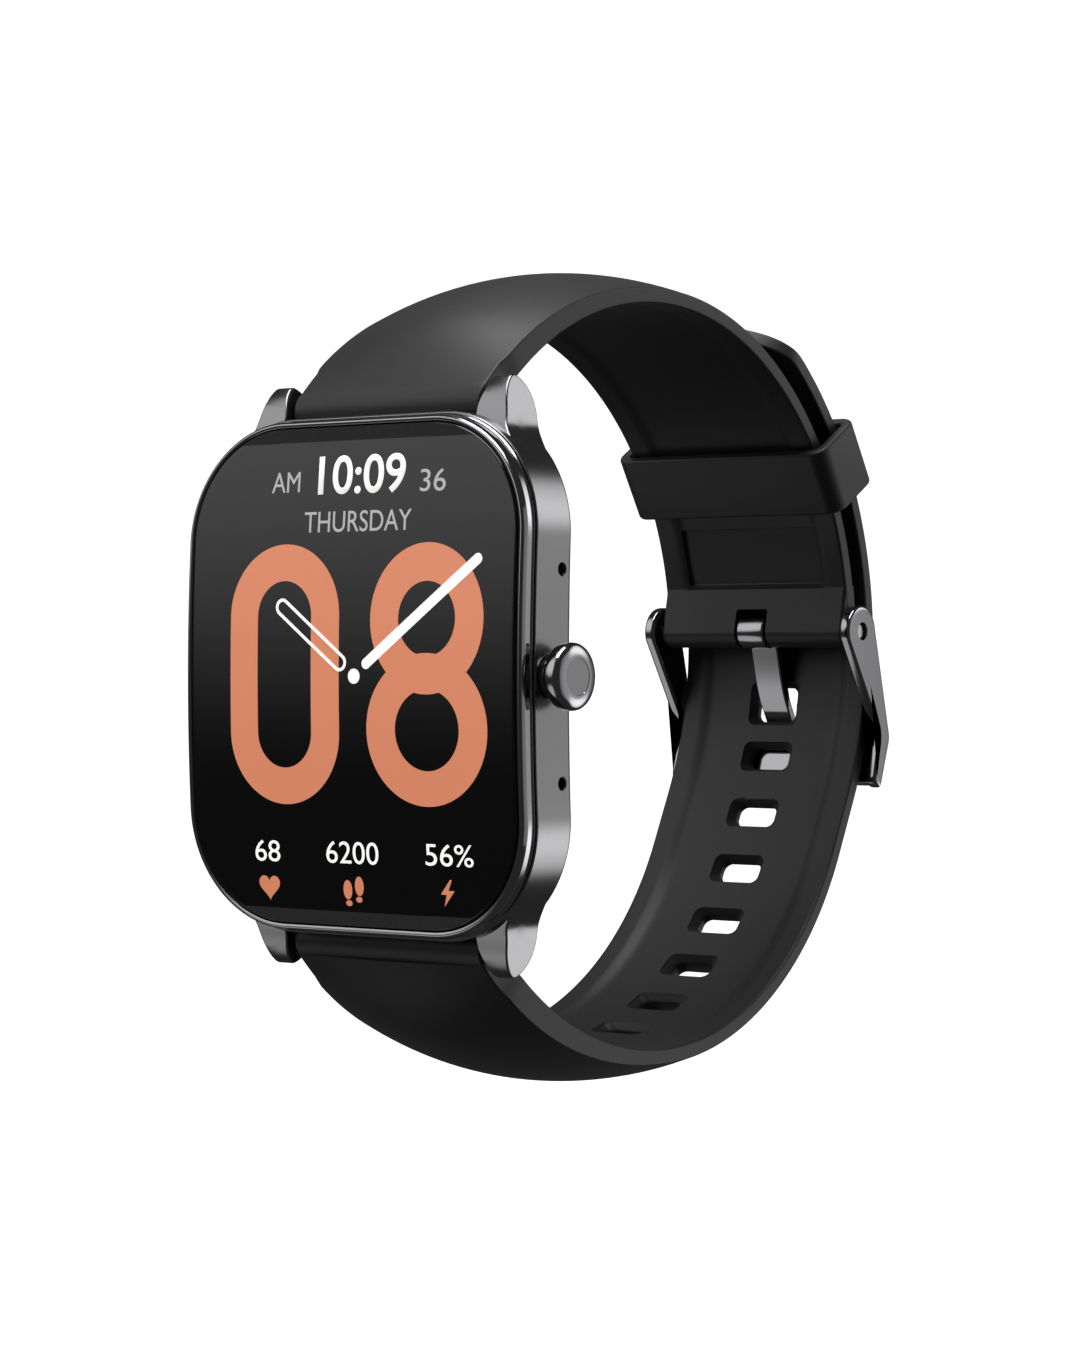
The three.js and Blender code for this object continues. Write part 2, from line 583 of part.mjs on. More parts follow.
// cross-section of a strap: [across, outward]; thin lips inside, a crown outside
function strapSection(half, edge, crown, dip) {
  const lip = Math.min(stripWidth, half * 0.4);
  const points = [[-half + 0.3, 0], [-half + lip, 0], [-half + lip + 0.5, dip], [half - lip - 0.5, dip],
    [half - lip, 0], [half - 0.3, 0], [half, 0.3], [half, edge - 0.3], [half - 0.3, edge]];
  const steps = 6;
  for (let i = 1; i < steps; i += 1) {
    const u = 1 - (2 * i) / steps;
    points.push([u * (half - 0.3), edge + crown * (1 - u * u)]);
  }
  points.push([-half + 0.3, edge], [-half, edge - 0.3], [-half, 0.3]);
  return points;
}

function strapSolid(list, shapeAt) {
  return loft(list.map((s) => {
    const { half = halfStrap, edge = strapEdge, crown = 0, dip = strapDip } = shapeAt(s);
    return strapSection(half, edge, crown, dip).map(
      ([x, h]) => new THREE.Vector3(x, s.y + h * s.out.y, s.z + h * s.out.z));
  }));
}

// block that stands on a path at an angle: sizes across, along and between two radii
function blockAt(c, angle, halfX, along, r0, r1) {
  return box(-halfX, halfX, r0, r1, -along / 2, along / 2)
    .rotateX(angle * deg).translate(0, c.y, c.z);
}

const strapEndHalf = halfStrap - looseFit;
const crownHeight = 1.9;
// the sides are thicker near the case, and the crown is there from the lugs on
const edgeAt = (s, swell) => strapEdge + swell * (1 - smooth(s.length, 0, swellLength));
const crownAt = (s) => crownHeight * smooth(s.length, -1, 9);

// notch for the knob of the quick-release pin, on the wrist side of a strap end
const knobX = 6.2;
const knobRadius = 0.6;
function releaseSlot(sz) {
  const slot = box(knobX - knobRadius - looseFit - releaseTravel, knobX + knobRadius + looseFit,
    0, barrelRadius + 3, -knobRadius - looseFit, knobRadius + looseFit);
  return slot.rotateX(-sz * 38 * deg).translate(0, barY, sz * barZ);
}

const strapBore = barTubeRadius + clearance;

// ---- upper strap: from the top bar over to the buckle bar
const buckle = onCircle(clasp, claspRadius + 0.25, buckleAngle);
const upperStart = 180 - Math.atan2(barZ + 0.4 - upperFront.z, upperFront.y - barY + 0.5) / deg;
const upperPath = stations([
  { c: upperFront, r: upperFront.r, from: upperStart, to: upperJoin, n: 14 },
  { c: clasp, r: claspRadius, from: upperJoin, to: buckleAngle, n: 20 },
]);
const upperShape = (s) => ({
  half: halfStrap - looseFit * (1 - smooth(s.length, 3.2, 4.2)),
  edge: edgeAt(s, upperEdgeSwell),
  crown: crownAt(s) * smooth(s.angle, 58, 88) + 0.7 * (1 - smooth(s.angle, 58, 88)),
});
const seatFrom = 10.5;
const seatTo = 21.5;
const recess = blockAt(clasp, (seatFrom + seatTo) / 2, halfStrap - 2.9,
  claspRadius * (seatTo - seatFrom) * deg, claspRadius - 2, claspRadius + strapDip + 0.3);
const tongueNotch = tongueWidth / 2 + looseFit;
const notchTop = buckle.z + 2.3;
const upperCuts = [
  rodX(-strapWidth, strapWidth, strapBore, barY, barZ, 20),
  rodX(-strapWidth, strapWidth, buckleBarRadius + clearance, buckle.y, buckle.z, 16),
  releaseSlot(1),
  recess,
  box(-tongueNotch, tongueNotch, buckle.y - 6, buckle.y + 6, buckle.z - 6, notchTop),
];
// the thicker end that holds the buckle bar
const endBlock = new THREE.Shape();
endBlock.absarc(buckle.y, buckle.z, buckleBarrel, Math.PI, 2 * Math.PI);
for (const r of [claspRadius + strapEdge + 0.3, claspRadius]) {
  const p = onCircle(clasp, r, buckleAngle + 8);
  endBlock.lineTo(p.y, p.z);
}
add('strap_upper', carve(strapSolid(upperPath, upperShape), [
  rodX(-strapEndHalf, strapEndHalf, barrelRadius, barY, barZ, 24),
  extrudeX(endBlock, -halfStrap + 0.1, halfStrap - 0.1),
], upperCuts), silicone);

// ---- lower strap: from the bottom bar round under the wrist and up outside the buckle
const tailRadius = claspRadius + tailGap;
// angle of what lies a length below the buckle's pin on the tail
const below = (length) => buckleAngle - length / tailRadius / deg;
const between = { y: clasp.y - lower.y, z: clasp.z - lower.z };
const tangentAngle = Math.atan2(between.z, between.y) / deg
  - Math.acos((claspRadius - tailRadius) / Math.hypot(between.y, between.z)) / deg;
const lowerStart = -180 + Math.atan2(barZ + 0.4 + lowerFront.z, lowerFront.y - barY + 0.5) / deg;
const lowerPath = stations([
  { c: lowerFront, r: lowerFront.r, from: lowerStart, to: lowerJoin, n: 14 },
  { c: lower, r: claspRadius, from: lowerJoin, to: tangentAngle, n: 12 },
  { c: clasp, r: tailRadius, from: tangentAngle, to: tailEndAngle - 10, n: 14 },
  { c: clasp, r: tailRadius, from: tailEndAngle - 8.8, to: tailEndAngle, n: 6 },
]);
const tailLength = lowerPath[lowerPath.length - 1].length;
const tipRound = (s) => Math.max(0, 1 - (tailLength - s.length) / tailTipLength);
const lowerShape = (s) => ({
  half: (halfStrap - looseFit * (1 - smooth(s.length, 3.2, 4.2))) * Math.sqrt(1.02 - tipRound(s) ** 2),
  edge: edgeAt(s, lowerEdgeSwell),
  crown: crownAt(s) * (1 - smooth(s.angle, -88, -30)) + 0.2,
  dip: strapDip * (1 - smooth(tipRound(s), 0, 0.4)),
});

// hole that narrows outward, at a length along the path from the first hole
const holeStart = tailLength - tailRadius * (tailEndAngle - below(firstHoleDrop)) * deg;
function pathAt(list, length) {
  const i = Math.max(1, list.findIndex((s) => s.length >= length));
  const a = list[i - 1];
  const b = list[i];
  const t = (length - a.length) / (b.length - a.length);
  const mix = (u, v) => u + (v - u) * t;
  return { y: mix(a.y, b.y), z: mix(a.z, b.z), angle: mix(a.angle, b.angle) };
}

function strapHole(s) {
  const rings = [[-0.6, 3.1, 1.7], [0.4, 3.0, 1.6], [1.1, 2.3, 1.15], [5, 2.3, 1.1]].map(([h, hx, hz]) => {
    const ring = [];
    const r = 0.8;
    for (let k = 0; k < 4; k += 1) {
      for (let i = 0; i <= 2; i += 1) {
        const a = (k + i / 2) * (Math.PI / 2);
        const x = Math.sign(Math.cos((k + 0.5) * Math.PI / 2)) * (hx - r) + r * Math.cos(a);
        const z = Math.sign(Math.sin((k + 0.5) * Math.PI / 2)) * (hz - r) + r * Math.sin(a);
        ring.push(new THREE.Vector3(x, h, z));
      }
    }
    return ring;
  });
  return loft(rings).rotateX(s.angle * deg).translate(0, s.y, s.z);
}
const holes = [];
for (let i = 0; i < holeCount; i += 1) holes.push(strapHole(pathAt(lowerPath, holeStart - i * holePitch)));
// the first hole is stretched along the strap, so that the slanted tongue stands free in it
const holeStretch = 1.3;
holes.push(strapHole(pathAt(lowerPath, holeStart - holeStretch)));
add('strap_lower', carve(strapSolid(lowerPath, lowerShape), [
  rodX(-strapEndHalf, strapEndHalf, barrelRadius, barY, -barZ, 24),
], [
  rodX(-strapWidth, strapWidth, strapBore, barY, -barZ, 20),
  releaseSlot(-1),
  ...holes,
]), silicone);

// ---------------------------------------------------------------- quick-release spring bars
const tubeBore = pinRadius + 0.3;
const tubeHalf = strapEndHalf - 0.7;
const pinOut = halfStrap + pinReach;
for (const [name, s] of [['upper', 1], ['lower', -1]]) {
  const z = s * barZ;
  const slot = releaseSlot(s);
  add(`${name}_bar_tube`, carve(tubeX(-tubeHalf, tubeHalf, barTubeRadius, tubeBore, barY, z, 16), [], [slot]), steel);
  add(`${name}_bar_pin`, rodX(-pinOut, -tubeHalf + 2, pinRadius, barY, z, 12), steel);
  const knob = rodY(0, barrelRadius + 0.7, knobRadius, 0, 0, 12)
    .rotateX(-s * 38 * deg).translate(knobX, barY, z);
  add(`${name}_release_pin`, carve(rodX(knobX - 1.2, pinOut, pinRadius, barY, z, 12), [knob]), steel);
}

// ---------------------------------------------------------------- buckle
const armInner = halfStrap + sideGap;
const armOuter = armInner + buckleArm;

// outline of one arm in (y, z): round at the bar, narrowing to the far bar
const armHead = 2.55;
const plateGap = tailRadius + strapEdge + 0.6;
const plateOut = plateGap + buckleBarPlate;
const farMiddle = below(buckleDrop);
const farLength = 4.6;
const farHalf = farLength / 2 / plateGap / deg;
function armShape() {
  const shape = new THREE.Shape();
  const knee = onCircle(clasp, plateOut + 0.15, farMiddle + farHalf + 1);
  const heel = onCircle(clasp, plateOut + 0.1, farMiddle - farHalf + 1.2);
  const toe = onCircle(clasp, plateGap - 0.1, farMiddle - farHalf);
  const inner = onCircle(clasp, plateGap - 0.6, farMiddle + farHalf);
  shape.absarc(buckle.y, buckle.z, armHead, 5 * deg, 208 * deg);
  shape.lineTo(inner.y, inner.z);
  shape.lineTo(toe.y, toe.z);
  shape.quadraticCurveTo(heel.y - 0.3, heel.z - 1.0, heel.y, heel.z);
  shape.lineTo(knee.y, knee.z);
  return shape;
}
const farPlate = blockAt(clasp, farMiddle, armOuter - 0.3, farLength, plateGap, plateOut);
add('buckle_frame', carve(extrudeX(armShape(), armInner, armOuter),
  [extrudeX(armShape(), -armOuter, -armInner), farPlate],
  [rodX(-armOuter - 1, armOuter + 1, buckleBarRadius + clearance, buckle.y, buckle.z, 16)]), polished);
add('buckle_bar', rodX(-armOuter + 0.35, armOuter - 0.35, buckleBarRadius, buckle.y, buckle.z, 14), steel);

// tongue: an eye round the bar and a blade that leans out through the hole to rest on the far bar
const eyeRadius = 1.7;
function bladeShape() {
  const rest = plateOut + 0.1 + tongueThickness / 2;
  const middle = new THREE.SplineCurve([
    [buckle.y + 1.1, buckle.z - 0.2],
    Object.values(onCircle(clasp, tailRadius - 0.2, below(firstHoleDrop - 0.73))),
    Object.values(onCircle(clasp, tailRadius + strapEdge + 0.7, below(firstHoleDrop + 2.18))),
    Object.values(onCircle(clasp, rest + 0.25, below(buckleDrop - farLength * 0.42))),
    Object.values(onCircle(clasp, rest, farMiddle - farHalf * 0.3)),
  ].map(([y, z]) => new THREE.Vector2(y, z)));
  const steps = 14;
  const left = [];
  const right = [];
  for (let i = 0; i <= steps; i += 1) {
    const p = middle.getPoint(i / steps);
    const t = middle.getTangent(i / steps).multiplyScalar(tongueThickness / 2);
    left.push(new THREE.Vector2(p.x - t.y, p.y + t.x));
    right.unshift(new THREE.Vector2(p.x + t.y, p.y - t.x));
  }
  return new THREE.Shape([...left, ...right]);
}
add('buckle_tongue', carve(extrudeX(bladeShape(), -tongueWidth / 2, tongueWidth / 2),
  [rodX(-tongueWidth / 2, tongueWidth / 2, eyeRadius, buckle.y, buckle.z, 20)],
  [rodX(-tongueWidth, tongueWidth, buckleBarRadius + clearance, buckle.y, buckle.z, 16)]), polished);

// ---------------------------------------------------------------- keeper
const keeperInner = claspRadius - 0.3;
const keeperOuter = tailRadius + strapEdge + 0.4;
const keeperHalf = halfStrap + 0.5;
add('strap_keeper', carve(
  blockAt(clasp, keeperAngle, keeperHalf + keeperWall, keeperLength, keeperInner - keeperWall,
    keeperOuter + keeperWall), [],
  [blockAt(clasp, keeperAngle, keeperHalf, keeperLength + 2, keeperInner, keeperOuter)]), silicone);

export default watch;
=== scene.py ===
# %% [markdown]
# # A smartwatch with its strap closed
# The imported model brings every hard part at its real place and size. This notebook adds the looks: smoother
# versions of everything that shows, the lit dial, and a finish for each material. Each step first says what
# the piece is on a real watch, then how it is made and why.

import json

import bmesh
import bpy
import numpy as np
from mathutils import Matrix, Vector


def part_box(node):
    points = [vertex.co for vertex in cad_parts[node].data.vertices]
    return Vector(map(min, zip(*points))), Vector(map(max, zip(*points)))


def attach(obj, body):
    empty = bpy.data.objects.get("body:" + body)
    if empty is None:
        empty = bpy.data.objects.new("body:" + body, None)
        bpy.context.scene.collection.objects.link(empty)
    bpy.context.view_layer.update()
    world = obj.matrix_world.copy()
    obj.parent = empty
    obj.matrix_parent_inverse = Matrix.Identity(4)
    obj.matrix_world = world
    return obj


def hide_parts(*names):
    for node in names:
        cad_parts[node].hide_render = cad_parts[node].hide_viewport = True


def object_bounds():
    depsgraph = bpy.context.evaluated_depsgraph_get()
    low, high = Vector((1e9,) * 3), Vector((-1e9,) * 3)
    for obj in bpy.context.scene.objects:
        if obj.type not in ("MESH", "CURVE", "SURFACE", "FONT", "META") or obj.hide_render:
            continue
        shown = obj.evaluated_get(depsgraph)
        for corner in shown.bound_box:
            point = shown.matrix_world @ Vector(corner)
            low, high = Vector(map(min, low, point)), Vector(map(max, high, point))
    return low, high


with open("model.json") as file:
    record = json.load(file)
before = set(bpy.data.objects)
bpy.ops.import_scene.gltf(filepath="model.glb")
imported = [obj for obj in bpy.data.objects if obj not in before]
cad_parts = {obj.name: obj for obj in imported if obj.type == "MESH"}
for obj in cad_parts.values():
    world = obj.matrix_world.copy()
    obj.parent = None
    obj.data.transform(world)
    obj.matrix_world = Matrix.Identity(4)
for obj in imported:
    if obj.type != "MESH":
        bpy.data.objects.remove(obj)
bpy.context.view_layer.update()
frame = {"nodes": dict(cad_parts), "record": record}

# %% [markdown]
# ## Working in millimetres
# A watch is small, so every size below is a plain number of millimetres, and `MM` turns it into metres only
# when a mesh is written. Surfaces are grids: a whole array of points, worked out at once, whose neighbours
# are joined by squares. A grid whose rows are rings becomes a closed body when its first and last ring are
# drawn together to their middles.

# %% Grids that become closed bodies
MM = 0.001


def squares(rows, columns, loop):
    """Corner numbers of a grid's squares. Columns always wrap round; rows wrap only in a loop."""
    row = np.arange(rows if loop else rows - 1)[:, None]
    column = np.arange(columns)
    below, right = (row + 1) % rows, (column + 1) % columns
    top, bottom = row * columns, below * columns
    return np.stack([top + column, top + right, bottom + right, bottom + column], -1).reshape(-1, 4)


def shade(mesh, sharp):
    """Smooth shading, with edges that turn by more than `sharp` degrees kept crisp."""
    mesh.shade_smooth()
    mesh.set_sharp_from_angle(angle=np.radians(sharp))


def body(name, rings, loop=False, sharp=35):
    """Closed body from rings of points, in millimetres, as an array of (rings, points, 3)."""
    if not loop:
        ends = [np.broadcast_to(rings[i].mean(0), rings[i].shape)[None] for i in (0, -1)]
        rings = np.concatenate([ends[0], rings, ends[1]])
    mesh = bpy.data.meshes.new(name)
    faces = squares(rings.shape[0], rings.shape[1], loop)
    mesh.from_pydata((rings.reshape(-1, 3) * MM).tolist(), [], faces.tolist())
    work = bmesh.new()
    work.from_mesh(mesh)
    bmesh.ops.remove_doubles(work, verts=work.verts, dist=1e-7)
    if work.calc_volume(signed=True) < 0:
        bmesh.ops.reverse_faces(work, faces=work.faces)
    work.to_mesh(mesh)
    work.free()
    shade(mesh, sharp)
    made = bpy.data.objects.new(name, mesh)
    bpy.context.scene.collection.objects.link(made)
    return made


# %% Joining and cutting
def carved(piece, join=(), cut=(), sharp=35):
    """The piece with the join bodies added and the cut bodies taken away. Those bodies are used up."""
    for tools, operation in ((join, "UNION"), (cut, "DIFFERENCE")):
        for tool in tools:
            step = piece.modifiers.new(tool.name, "BOOLEAN")
            step.operation, step.object, step.solver = operation, tool, "MANIFOLD"
    graph = bpy.context.evaluated_depsgraph_get()
    mesh = bpy.data.meshes.new_from_object(piece.evaluated_get(graph))
    piece.modifiers.clear()
    piece.data = mesh
    for tool in [*join, *cut]:
        bpy.data.objects.remove(tool)
    shade(mesh, sharp)
    even = piece.modifiers.new("even shading", "WEIGHTED_NORMAL")
    even.keep_sharp = True
    print(f"{piece.name}: {len(mesh.polygons)} faces")
    return piece


# %% Outlines and turned shapes
def rounded(corners, radius, steps=5):
    """Closed outline with soft corners: each corner becomes a quadratic curve that starts and ends `radius`
    away from it on its two sides, or at most halfway along the shorter one."""
    corners = np.asarray(corners, float)
    sides = [np.roll(corners, shift, 0) - corners for shift in (1, -1)]
    lengths = [np.linalg.norm(side, axis=1) + 1e-9 for side in sides]
    reach = np.minimum(radius, 0.49 * np.minimum(*lengths))
    start, end = [corners + side * (reach / length)[:, None] for side, length in zip(sides, lengths)]
    t = np.linspace(0, 1, steps + 1)[:, None]
    curve = (1 - t) ** 2 * start[:, None] + 2 * t * (1 - t) * corners[:, None] + t**2 * end[:, None]
    return curve.reshape(-1, 2)


def rounded_rectangle(half_a, half_b, corner, steps=12):
    """Rounded rectangles, one for each size given: every corner is a quarter circle."""
    half_a, half_b, corner = [np.atleast_1d(v).astype(float)[:, None] for v in (half_a, half_b, corner)]
    angle = (np.arange(4)[:, None] * np.pi / 2 + np.linspace(0, np.pi / 2, steps + 1)).ravel()
    side_a, side_b = np.repeat([[1, -1, -1, 1], [1, 1, -1, -1]], steps + 1, axis=1)
    a = side_a * (half_a - corner) + corner * np.cos(angle)
    b = side_b * (half_b - corner) + corner * np.sin(angle)
    return a, b


def turned(profile, axis, centre, sides=64):
    """Turned rings: each (place along the axis, radius) of the profile is carried round the axis."""
    along, radius = np.asarray(profile, float).T
    angle = np.linspace(0, 2 * np.pi, sides, endpoint=False)
    flat = [np.broadcast_to(along[:, None], (len(along), sides))]
    flat += [centre[0] + radius[:, None] * np.cos(angle), centre[1] + radius[:, None] * np.sin(angle)]
    order = {"X": (0, 1, 2), "Y": (1, 0, 2)}[axis]
    return np.stack([flat[i] for i in order], -1)


def rod(name, axis, start, end, radius, centre, sides=32):
    return body(name, turned([(start, radius), (end, radius)], axis, centre, sides))


def slab(outline, low, high, edge, steps=4):
    """Plate between two places along X, from an outline in (y, z) with quarter-round edges: going in by
    edge * (1 - sin t) while x goes on by edge * (1 - cos t). Rings inside each face, at fixed shares of the
    way from its middle to its rim, keep its squares even."""
    along = np.roll(outline, -1, 0) - np.roll(outline, 1, 0)
    inward = np.stack([-along[:, 1], along[:, 0]], -1)
    inward /= np.linalg.norm(inward, axis=1)[:, None] + 1e-12
    area = np.sum(outline[:, 0] * np.roll(outline[:, 1], -1) - outline[:, 1] * np.roll(outline[:, 0], -1))
    inward *= np.sign(area)
    t = np.linspace(0, np.pi / 2, steps + 1)
    inset, depth = edge * (1 - np.sin(t)), edge * (1 - np.cos(t))
    rim = outline + np.concatenate([inset, inset[::-1]])[:, None, None] * inward
    middle = outline.mean(0)
    shares = np.array([0.02, 0.15, 0.3, 0.45, 0.6, 0.75, 0.88, 0.96])[:, None, None]
    face = middle + shares * (rim[0] - middle)
    level = np.ones(len(shares))
    x = np.concatenate([low * level, low + depth, high - depth[::-1], high * level])
    flat = np.concatenate([face, rim, face[::-1]])
    return np.concatenate([np.broadcast_to(x[:, None, None], (*flat.shape[:2], 1)), flat], -1)


def block(name, middle, halves, angle=0.0, corner=0.3):
    """Box with rounded corners that stands on a place (y, z), turned by an angle about X. Its halves are
    across, outward and along."""
    outward, along = rounded_rectangle(halves[1], halves[2], corner)
    c, s = np.cos(np.radians(angle)), np.sin(np.radians(angle))
    outline = [middle[0] + outward[0] * c - along[0] * s, middle[1] + outward[0] * s + along[0] * c]
    return body(name, slab(np.stack(outline, -1), -halves[0], halves[0], min(0.3, corner)))


# %% [markdown]
# ## Tying pieces to the frame
# A finer piece stands for the CAD node of its shape, moves with that node's body and takes the finish it
# is given. The body is in the record, so the node's name is enough to find it.

# %% Pieces that stand for CAD nodes
behaviour = frame["record"]["behaviour"]
body_of_node = {node: name for name, nodes in behaviour["bodies"].items() for node in nodes}
slot_of_node = {part["node"]: part["material_slot"] for part in frame["record"]["subparts"]}


def stands_for(piece, node, material):
    piece.data.materials.clear()
    piece.data.materials.append(material)
    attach(piece, body_of_node[node])
    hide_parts(node)
    return piece


def finer(node, material, edge=0.05):
    """A CAD node's own shape as one merged mesh, smooth where it is turned, its edges broken by a bevel."""
    mesh = frame["nodes"][node].data.copy()
    work = bmesh.new()
    work.from_mesh(mesh)
    bmesh.ops.remove_doubles(work, verts=work.verts, dist=2e-7)
    work.to_mesh(mesh)
    work.free()
    shade(mesh, 32)
    piece = bpy.data.objects.new(node + "_fine", mesh)
    bpy.context.scene.collection.objects.link(piece)
    bevel = piece.modifiers.new("broken edges", "BEVEL")
    bevel.width, bevel.segments, bevel.harden_normals = edge * MM, 2, True
    bevel.limit_method, bevel.angle_limit = "ANGLE", np.radians(40)
    return stands_for(piece, node, material)


# %% [markdown]
# ## Finishes
# Real surfaces are never one flat colour: blasted metal has a fine grain, polished metal has hairlines that
# vary its gloss, and moulded silicone has a soft skin with faint cloudiness. Each finish therefore reads two
# noises on object coordinates: a fine one, in tenths of a millimetre, for bump and gloss, and a broad one,
# in centimetres, for colour. Constant values go straight on the shader.

# %% One recipe for finishes
cloud = 12    # size of the broad noise, in millimetres


def finish(name, colour, rough, metal=0.0, grain=0.2, depth=0.01, vary=0.06, mottle=0.08,
           stretch=(1, 1, 1), **sockets):
    """Principled finish. Gloss is rough +- vary and height is depth (mm), both from noise of size grain (mm);
    colour is scaled by 1 +- mottle from broad noise. stretch pulls the fine noise into brush lines."""
    material = bpy.data.materials.new(name)
    material.use_nodes = True
    nodes, links = material.node_tree.nodes, material.node_tree.links
    shader = nodes["Principled BSDF"]
    shader.inputs["Metallic"].default_value = metal
    for socket, value in sockets.items():
        shader.inputs[socket.replace("_", " ")].default_value = value
    place = nodes.new("ShaderNodeTexCoord").outputs["Object"]
    mapping = nodes.new("ShaderNodeMapping")
    mapping.inputs["Scale"].default_value = stretch
    links.new(place, mapping.inputs["Vector"])
    fine, broad = nodes.new("ShaderNodeTexNoise"), nodes.new("ShaderNodeTexNoise")
    fine.inputs["Scale"].default_value = 1 / (grain * MM)
    fine.inputs["Detail"].default_value = 3
    links.new(mapping.outputs["Vector"], fine.inputs["Vector"])
    broad.inputs["Scale"].default_value = 1 / (cloud * MM)
    links.new(place, broad.inputs["Vector"])
    gloss = nodes.new("ShaderNodeMapRange")
    gloss.inputs["From Min"].default_value, gloss.inputs["From Max"].default_value = 0.3, 0.7
    gloss.inputs["To Min"].default_value = max(rough - vary, 0.02)
    gloss.inputs["To Max"].default_value = rough + vary
    links.new(fine.outputs["Fac"], gloss.inputs["Value"])
    links.new(gloss.outputs["Result"], shader.inputs["Roughness"])
    tint = nodes.new("ShaderNodeMix")
    tint.data_type = "RGBA"
    tint.inputs["A"].default_value = (*[c * (1 - mottle) for c in colour], 1)
    tint.inputs["B"].default_value = (*[min(c * (1 + mottle), 1) for c in colour], 1)
    links.new(broad.outputs["Fac"], tint.inputs["Factor"])
    links.new(tint.outputs["Result"], shader.inputs["Base Color"])
    bump = nodes.new("ShaderNodeBump")
    bump.inputs["Strength"].default_value, bump.inputs["Distance"].default_value = 0.5, depth * MM
    links.new(fine.outputs["Fac"], bump.inputs["Height"])
    links.new(bump.outputs["Normal"], shader.inputs["Normal"])
    return material


# %% The finishes of this watch
satin = finish("satin gunmetal", (0.235, 0.235, 0.24), 0.24, 1.0, grain=0.1, depth=0.0012, vary=0.03,
               mottle=0.02)
bright = finish("polished gunmetal", (0.33, 0.33, 0.34), 0.12, 1.0, grain=0.5, depth=0.0, vary=0.02,
                mottle=0.02)
black_glass = finish("black glass", (0.003, 0.003, 0.003), 0.14, grain=3, depth=0.0, vary=0.01)
silicone = finish("black silicone", (0.017, 0.017, 0.0175), 0.47, grain=0.09, depth=0.006, vary=0.05,
                  mottle=0.1, Sheen_Weight=0.06, Specular_IOR_Level=0.42)
seal = finish("black seal rubber", (0.02, 0.02, 0.02), 0.75, grain=0.15, depth=0.02)
steel = finish("satin steel", (0.56, 0.56, 0.57), 0.28, 1.0, grain=0.15, depth=0.003, stretch=(0.1, 1, 1))
resin = finish("black resin", (0.02, 0.02, 0.021), 0.45, grain=0.25, depth=0.015)
solder_mask = finish("green board", (0.01, 0.09, 0.045), 0.4, grain=0.5, depth=0.01, Coat_Weight=0.2)
foil = finish("cell foil", (0.5, 0.5, 0.51), 0.35, 1.0, grain=1.2, depth=0.04)
gold = finish("gold plate", (0.78, 0.55, 0.22), 0.2, 1.0, grain=0.2, depth=0.002)
panel = finish("unlit panel", (0.006, 0.006, 0.007), 0.15, grain=0.5, depth=0.0)

finish_of_slot = {"gunmetal": satin, "polished_metal": bright, "glass": black_glass, "display": panel,
                  "silicone": silicone, "seal": seal, "steel": steel, "resin": resin, "board": solder_mask,
                  "foil": foil, "gold": gold}
for node, kept in frame["nodes"].items():
    kept.data.materials.clear()
    kept.data.materials.append(finish_of_slot[slot_of_node[node]])
print("finishes:", len(finish_of_slot))

# %% [markdown]
# ## Case outline
# The case is a rounded rectangle seen from the front. All of its rings share the corner centres, so moving
# a ring in by an inset only shortens the corner radius, and every wall keeps an even thickness. The depths
# come from the frame's own boxes.

# %% Case sizes
case_low, case_high = np.array(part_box("case_frame")) / MM
front = np.array(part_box("touch_glass"))[0, 1] / MM
half_width = case_high[0]
half_height = 23.0
corner_radius = 11.0
wall = 1.9
band_front = case_low[1]
band_rear = band_front + 4.55
case_rear = case_high[1]
ledge = case_rear - 1.2
bow = 1.3    # how far the front bends back at 12 and 6 o'clock
print("case", 2 * half_width, "by", 2 * half_height, "mm, band", band_front, "to", band_rear)


def bowed(depth, z):
    """The case bends back a little towards 12 and 6 o'clock: depth + bow * (z / half_height)^2, all of it in
    front of the band's rear edge and fading to none at the back cover."""
    share = np.clip((ledge - depth) / (ledge - band_rear), 0, 1)
    return depth + bow * share * (z / half_height) ** 2


def case_rings(profile, steps=24, straight=14):
    """Rings of the case outline for each (inset, depth) of a profile: x and z from a rounded rectangle whose
    corner radius shrinks by the inset, with points along its long sides too, and y = the bowed depth."""
    inset, depth = np.asarray(profile, float).T
    x, z = rounded_rectangle(half_width - inset, half_height - inset, corner_radius - inset, steps)
    share = np.linspace(0, 1, straight + 2)[1:-1]
    half_way = 2 * (steps + 1)
    above, below = z[:, half_way - 1:half_way], z[:, half_way:half_way + 1]
    falling = above + share * (below - above)
    rising = z[:, -1:] + share * (z[:, :1] - z[:, -1:])
    long_x = np.repeat(x[:, :1], straight, axis=1)
    x = np.concatenate([x[:, :half_way], -long_x, x[:, half_way:], long_x], 1)
    z = np.concatenate([z[:, :half_way], falling, z[:, half_way:], rising], 1)
    return np.stack([x, bowed(depth[:, None], z), z], -1)


# %% [markdown]
# ## Case frame
# The band is a hoop with a blasted face, a small chamfer in front and a rounded rear edge. The four lugs
# grow out of its corners: from the front, each outer face leaves the corner in an S and then leans a little
# towards the strap. That S is a cubic that has the corner's slope at its foot and the lean at its top. From
# the side, a lug is a rounded finger that sweeps back from the band's front. Crown recess, microphone
# holes, speaker slots and the hollows for the strap's barrels are then cut as a mill would cut them.

# %% Lug shape
def blend(x, a, b):
    """Rises smoothly from 0 at a to 1 at b: 3t^2 - 2t^3."""
    t = np.clip((x - a) / (b - a), 0, 1)
    return t * t * (3 - 2 * t)


